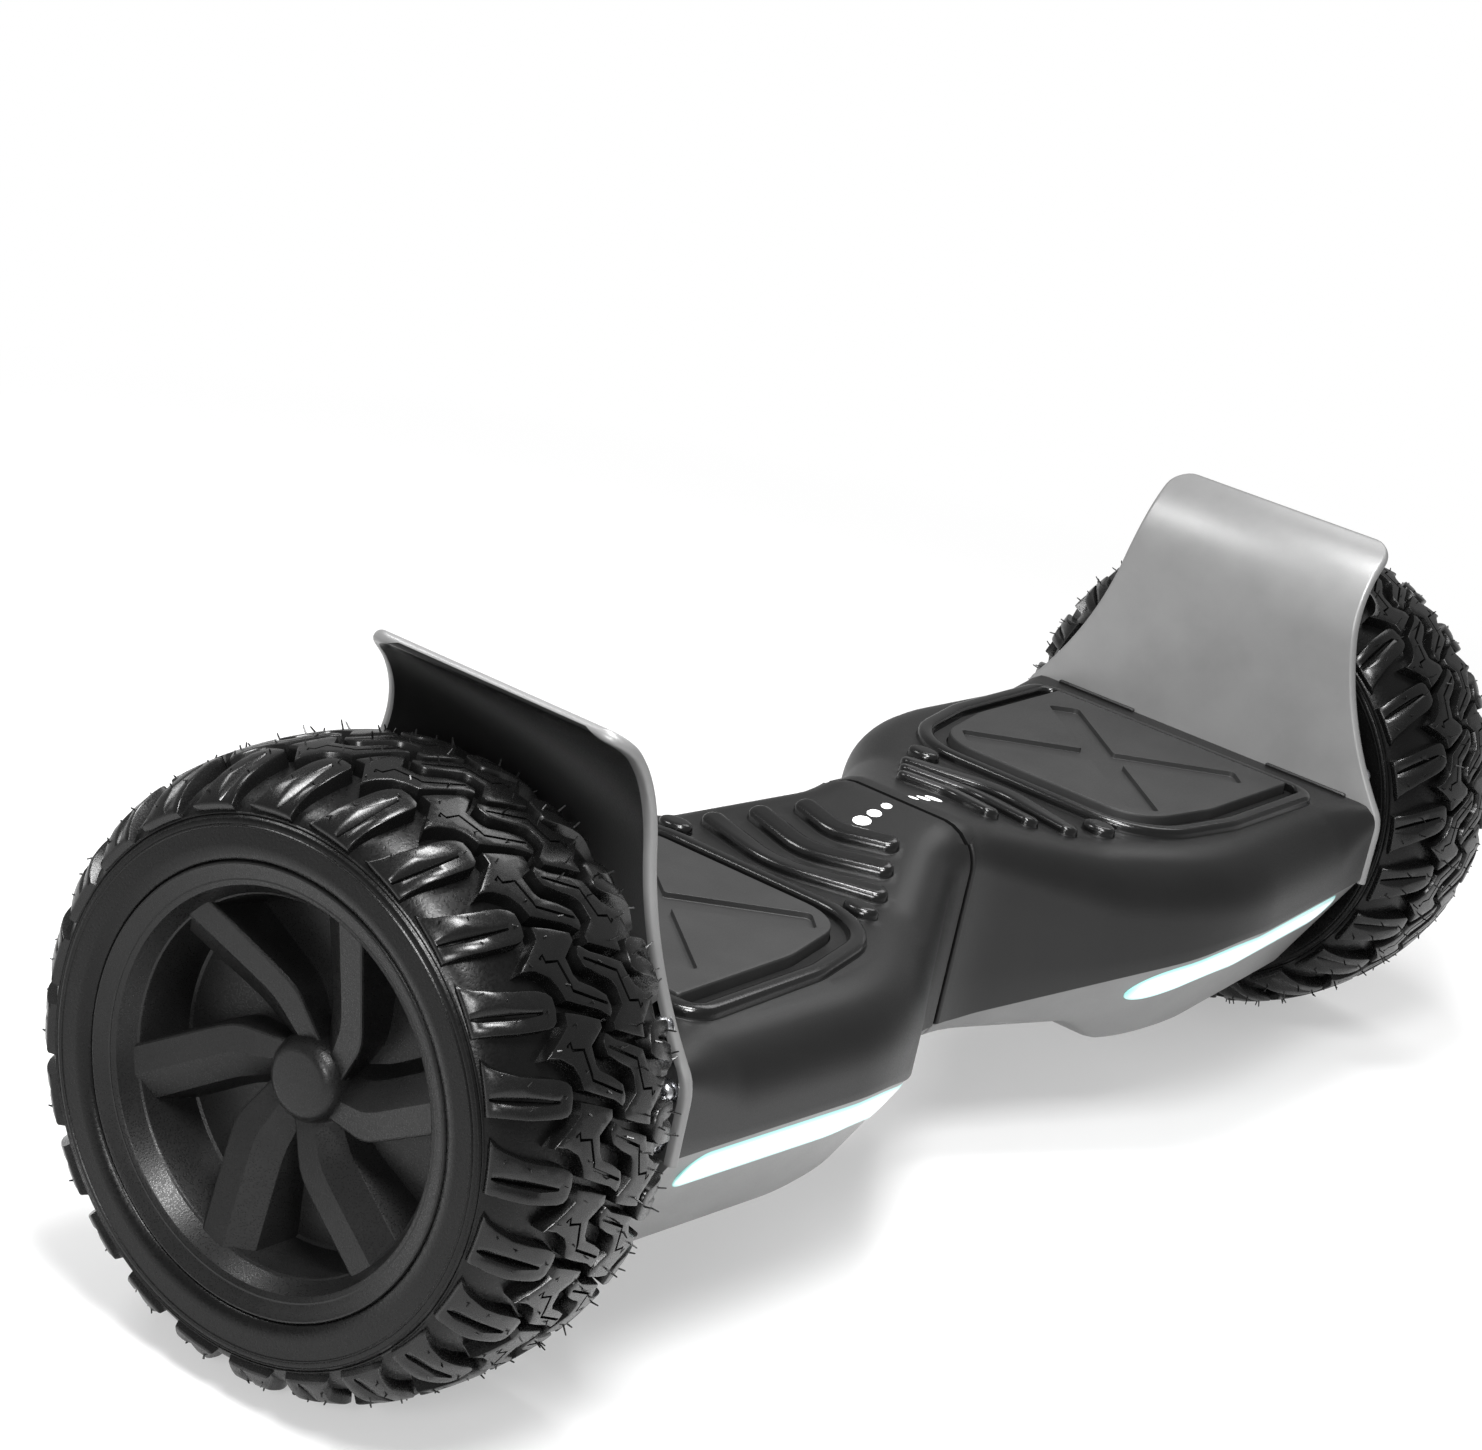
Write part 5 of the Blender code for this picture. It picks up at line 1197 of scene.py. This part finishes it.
def hair_shape(w, degrees, length, tilt, swing):
    """A moulding hair that stands off the tread."""
    shape = Shape()
    foot = Vector(tread_point(w * MM, degrees, tread_height(abs(w) * MM) - 0.3 * MM))
    tip = Vector(tread_point((w + tilt) * MM, degrees + swing, tread_height(abs(w) * MM) + length * MM))
    if tip.z < 0:
        return shape
    along = (tip - foot).normalized()
    one = along.orthogonal().normalized()
    two = along.cross(one)
    rings = []
    for share, r in HAIR_PROFILE:
        centre = foot.lerp(tip, share)
        rings.append([centre + (one * math.cos(a) + two * math.sin(a)) * r * MM
                      for a in (math.tau * k / 5 for k in range(5))])
    shape.loft(rings)
    return shape


# Distance from the mid-plane and radius, from the bead seat to the sidewall
BEAD_PROFILE = ((BEAD_HALF_WIDTH - 0.0040, BEAD_RADIUS), (BEAD_HALF_WIDTH, BEAD_RADIUS),
                (BEAD_HALF_WIDTH + 0.0012, 0.0726), (0.0420, 0.0729), (0.0427, 0.0736), (0.0434, 0.0750),
                (0.0440, 0.0770))
# Height over the sidewall and place across a moulded ridge
RIDGE_PROFILE = ((0.00004, -0.00045), (0.00032, -0.00015), (0.00030, 0.00015), (-0.00010, 0.00045))


def tyre_shape():
    body = Shape()
    profile = []
    crown = TYRE_RADIUS - TREAD_DEPTH
    steps = 44
    for i in range(steps + 1):
        t = math.pi / 2 * i / steps
        w = TYRE_HALF_WIDTH * math.cos(t) ** (2 / CROWN_POWER) if i < steps else 0
        w = min(w, SIDEWALL_LIMIT - 0.4 * MM * math.cos(t))
        r = SIDEWALL_RADIUS + (crown - SIDEWALL_RADIUS) * math.sin(t) ** (2 / CROWN_POWER)
        profile.append((w, r))
    ridged = []
    for (w0, r0), (w1, r1) in zip(profile, profile[1:]):
        ridged.append((w0, r0))
        for ridge in SIDEWALL_RIDGES:
            if r0 < ridge <= r1:
                share = (ridge - r0) / (r1 - r0)
                w = w0 + (w1 - w0) * share
                ridged += [(w + out, ridge + up) for out, up in RIDGE_PROFILE]
    ridged.append(profile[-1])
    half = list(BEAD_PROFILE) + ridged
    full = [(TYRE_X + w, r) for w, r in half] + [(TYRE_X - w, r) for w, r in reversed(half[:-1])]
    inner = [(TYRE_X - INNER_HALF_WIDTH, INNER_RADIUS), (TYRE_X + INNER_HALF_WIDTH, INNER_RADIUS)]
    # The body takes the second look: real coarser grain, with its darker colour painted shade.
    body.turned(full + inner, 144, look=1)
    shapes = [body]
    random.seed(7)
    for pitch in range(TREAD_PITCHES):
        turn = pitch * TREAD_PITCH
        for side in (1, -1):
            shapes.append(lug_shape(SHOULDER_LUG, SHOULDER_SLOT, SHOULDER_SLOT_WIDTH, side, turn))
            shapes.append(lug_shape(HOOK_LUG, HOOK_SIPE, HOOK_SIPE_WIDTH, side, turn))
            for w, degrees in SHOULDER_HAIRS + HOOK_HAIRS:
                out = crown_shift(w)
                if side < 0:
                    out, degrees = -out, TREAD_MIRROR - degrees
                length = random.uniform(*(SHORT_HAIR if side > 0 else LONG_HAIR))
                tilt = random.uniform(-HAIR_TILT, HAIR_TILT)
                swing = random.uniform(-HAIR_SWING, HAIR_SWING)
                shapes.append(hair_shape(out, degrees + turn, length, tilt, swing))
    return merged(shapes)


# Pieces

UP = Vector((0, 0, 1))
for name, side in SIDES:
    half = "half_" + name
    wheel = "wheel_" + name
    black = LOOKS["satin_black_plastic"]
    silver = LOOKS["silver_paint"]
    piece("deck_cover_" + name, top_cover_shape().mesh("deck_cover", side, 38, SHELL_WALL, UP),
          [black, LOOKS["rib_plastic"]], half, ["top_cover_" + name])
    for place, y in (("front", -TAB_Y), ("rear", TAB_Y)):
        tab = block_shape(DECK_END - TAB_THICK, DECK_END - 0.05 * MM, y - TAB_LENGTH / 2, y + TAB_LENGTH / 2,
                          END_Z - TAB_DIP, END_Z + TAB_RISE, TAB_BEVEL)
        piece("fender_tab_" + place + "_" + name, tab.mesh("fender_tab", side), [black], half)
    piece("grip_pad_" + name, foot_pad_shape().mesh("grip_pad", side), [LOOKS["pad_rubber"]], "pad_" + name,
          ["foot_pad_" + name])
    piece("indicator_dots_" + name, indicator_shape().mesh("indicator_dots", side), [LOOKS["indicator_lens"]],
          half, ["indicator_light_" + name])
    piece("belly_shell_" + name, bottom_cover_shape().mesh("belly_shell", side, 40, SHELL_WALL, -UP),
          [silver], half, ["bottom_cover_" + name])
    lens, rims = lens_shape()
    lens_mesh = lens.mesh("headlight_blade", side)
    lens_mesh.attributes.new("rim", "FLOAT", "POINT").data.foreach_set("value", rims)
    piece("headlight_blade_" + name, lens_mesh, [LOOKS["headlight_lens"]], half,
          ["headlight_lens_" + name])
    piece("tail_bar_" + name, tail_shape().mesh("tail_bar", side), [LOOKS["tail_light_lens"]], half,
          ["tail_light_" + name])
    piece("fender_plate_" + name, fender_shape().mesh("fender_plate", side, 50),
          [silver, LOOKS["fender_black"]], half, ["fender_" + name])
    screws = [screw_shape(FENDER_X + FENDER_THICK - SCREW_SUNK, flip * y, z, SCREW_RADIUS, SCREW_HEIGHT)
              for y, z in FENDER_SCREWS for flip in (1, -1)]
    piece("fender_screws_" + name, merged(screws).mesh("fender_screws", side), [LOOKS["steel"]], half)
    piece("road_tyre_" + name, tyre_shape().mesh("road_tyre", side, 42),
          [LOOKS["tyre_rubber"], LOOKS["tyre_groove"]], wheel, ["tyre_" + name])
    piece("spoke_cover_" + name, wheel_cover_shape().mesh("spoke_cover", side, 18), [LOOKS["wheel_plastic"]],
          wheel, ["wheel_cover_" + name])


# Stage, light and camera

FLOOR_REACH = 9
FLOOR_FADE_START = 0.40
FLOOR_FADE_END = 1.05
FLOOR_NEAR_WHITE = 0.42
FLOOR_REFLECTION = 0.65
AMBIENT = 0.32

floor_corners = [(x * FLOOR_REACH, y * FLOOR_REACH, 0) for x, y in ((-1, -1), (1, -1), (1, 1), (-1, 1))]
floor_mesh = bpy.data.meshes.new("floor")
floor_mesh.from_pydata(floor_corners, [], [(0, 1, 2, 3)])
floor = bpy.data.objects.new("floor", floor_mesh)
bpy.context.scene.collection.objects.link(floor)


def pale_floor():
    """White floor that takes the shadow near the object and turns to plain white further out."""
    nodes = Nodes("pale_floor")
    nodes.give(nodes.shader, {"Base Color": nodes.blend(nodes.noise(30.0, 2.0, 0.5), tone(250), tone(253)),
                              "Roughness": 0.9,
                              "Specular IOR Level": 0.1})
    far = nodes.add("VectorMath", {0: nodes.coordinates}, operation="LENGTH").outputs["Value"]
    share = nodes.span(far, FLOOR_FADE_START, FLOOR_FADE_END, FLOOR_NEAR_WHITE, 1.0)
    path = nodes.add("LightPath", {}).outputs
    seen = path["Is Camera Ray"]
    for ray, level in (("Is Glossy Ray", FLOOR_REFLECTION), ("Is Transmission Ray", 1.0)):
        bright = nodes.span(path[ray], 0.0, 1.0, 0.0, level)
        seen = nodes.add("Math", {0: seen, 1: bright}, operation="MAXIMUM").outputs[0]
    white = nodes.add("Emission", {"Strength": seen}).outputs[0]
    mixed = nodes.add("MixShader", {0: share, 1: nodes.shader.outputs[0], 2: white}).outputs[0]
    nodes.give(nodes.tree.nodes["Material Output"], {"Surface": mixed})
    return nodes.material


floor_mesh.materials.append(pale_floor())

world = bpy.data.worlds.new("studio")
bpy.context.scene.world = world
world.use_nodes = True
backdrop = world.node_tree.nodes["Background"]
backdrop.inputs["Color"].default_value = (1.0, 1.0, 1.0, 1.0)
path = world.node_tree.nodes.new("ShaderNodeLightPath")
level = world.node_tree.nodes.new("ShaderNodeMapRange")
level.inputs["To Min"].default_value = AMBIENT
level.inputs["To Max"].default_value = 1.0
world.node_tree.links.new(path.outputs["Is Camera Ray"], level.inputs["Value"])
world.node_tree.links.new(level.outputs["Result"], backdrop.inputs["Strength"])


def softbox(name, place, target, width, height, power):
    lamp = bpy.data.lights.new(name, "AREA")
    lamp.shape = "RECTANGLE"
    lamp.size = width
    lamp.size_y = height
    lamp.energy = power
    holder = bpy.data.objects.new(name, lamp)
    holder.location = place
    holder.rotation_euler = (Vector(target) - Vector(place)).to_track_quat("-Z", "Y").to_euler()
    bpy.context.scene.collection.objects.link(holder)


softbox("overhead", place=(-0.18, 0.02, 1.45), target=(-0.20, 0, 0.05), width=0.34, height=0.30, power=13)
softbox("front_left", place=(-0.72, -0.40, 1.18), target=(-0.34, 0, 0.08), width=0.30, height=0.40, power=17)
softbox("left_side", place=(-1.42, -0.42, 0.60), target=(-0.34, 0, 0.08), width=0.34, height=0.30, power=8)
softbox("rear_left", place=(-0.50, 0.85, 1.15), target=(-0.30, 0, 0.10), width=0.36, height=0.36, power=6)
softbox("far_side", place=(0.62, 0.10, 1.0), target=(-0.15, 0, 0.1), width=0.55, height=0.45, power=2.5)

CAMERA_PLACE = (-1.16342964, -0.64921319, 0.59561963)
CAMERA_RIGHT = Vector((0.57880179, -0.79030125, 0.20102839))
CAMERA_DOWN = Vector((-0.1527538, -0.34723056, -0.92525522))
CAMERA_AHEAD = Vector((0.80103356, 0.50483153, -0.32169919))

camera_data = bpy.data.cameras.new("camera")
camera_data.lens = 90.55
camera_data.sensor_width = 36
camera_data.shift_x = 0.0158
camera_data.shift_y = 0.0198
camera = bpy.data.objects.new("camera", camera_data)
camera.matrix_world = (Matrix.Translation(CAMERA_PLACE)
                       @ Matrix((CAMERA_RIGHT, -CAMERA_DOWN, -CAMERA_AHEAD)).transposed().to_4x4())
bpy.context.scene.collection.objects.link(camera)
bpy.context.scene.camera = camera
bpy.context.scene.view_settings.view_transform = "Standard"
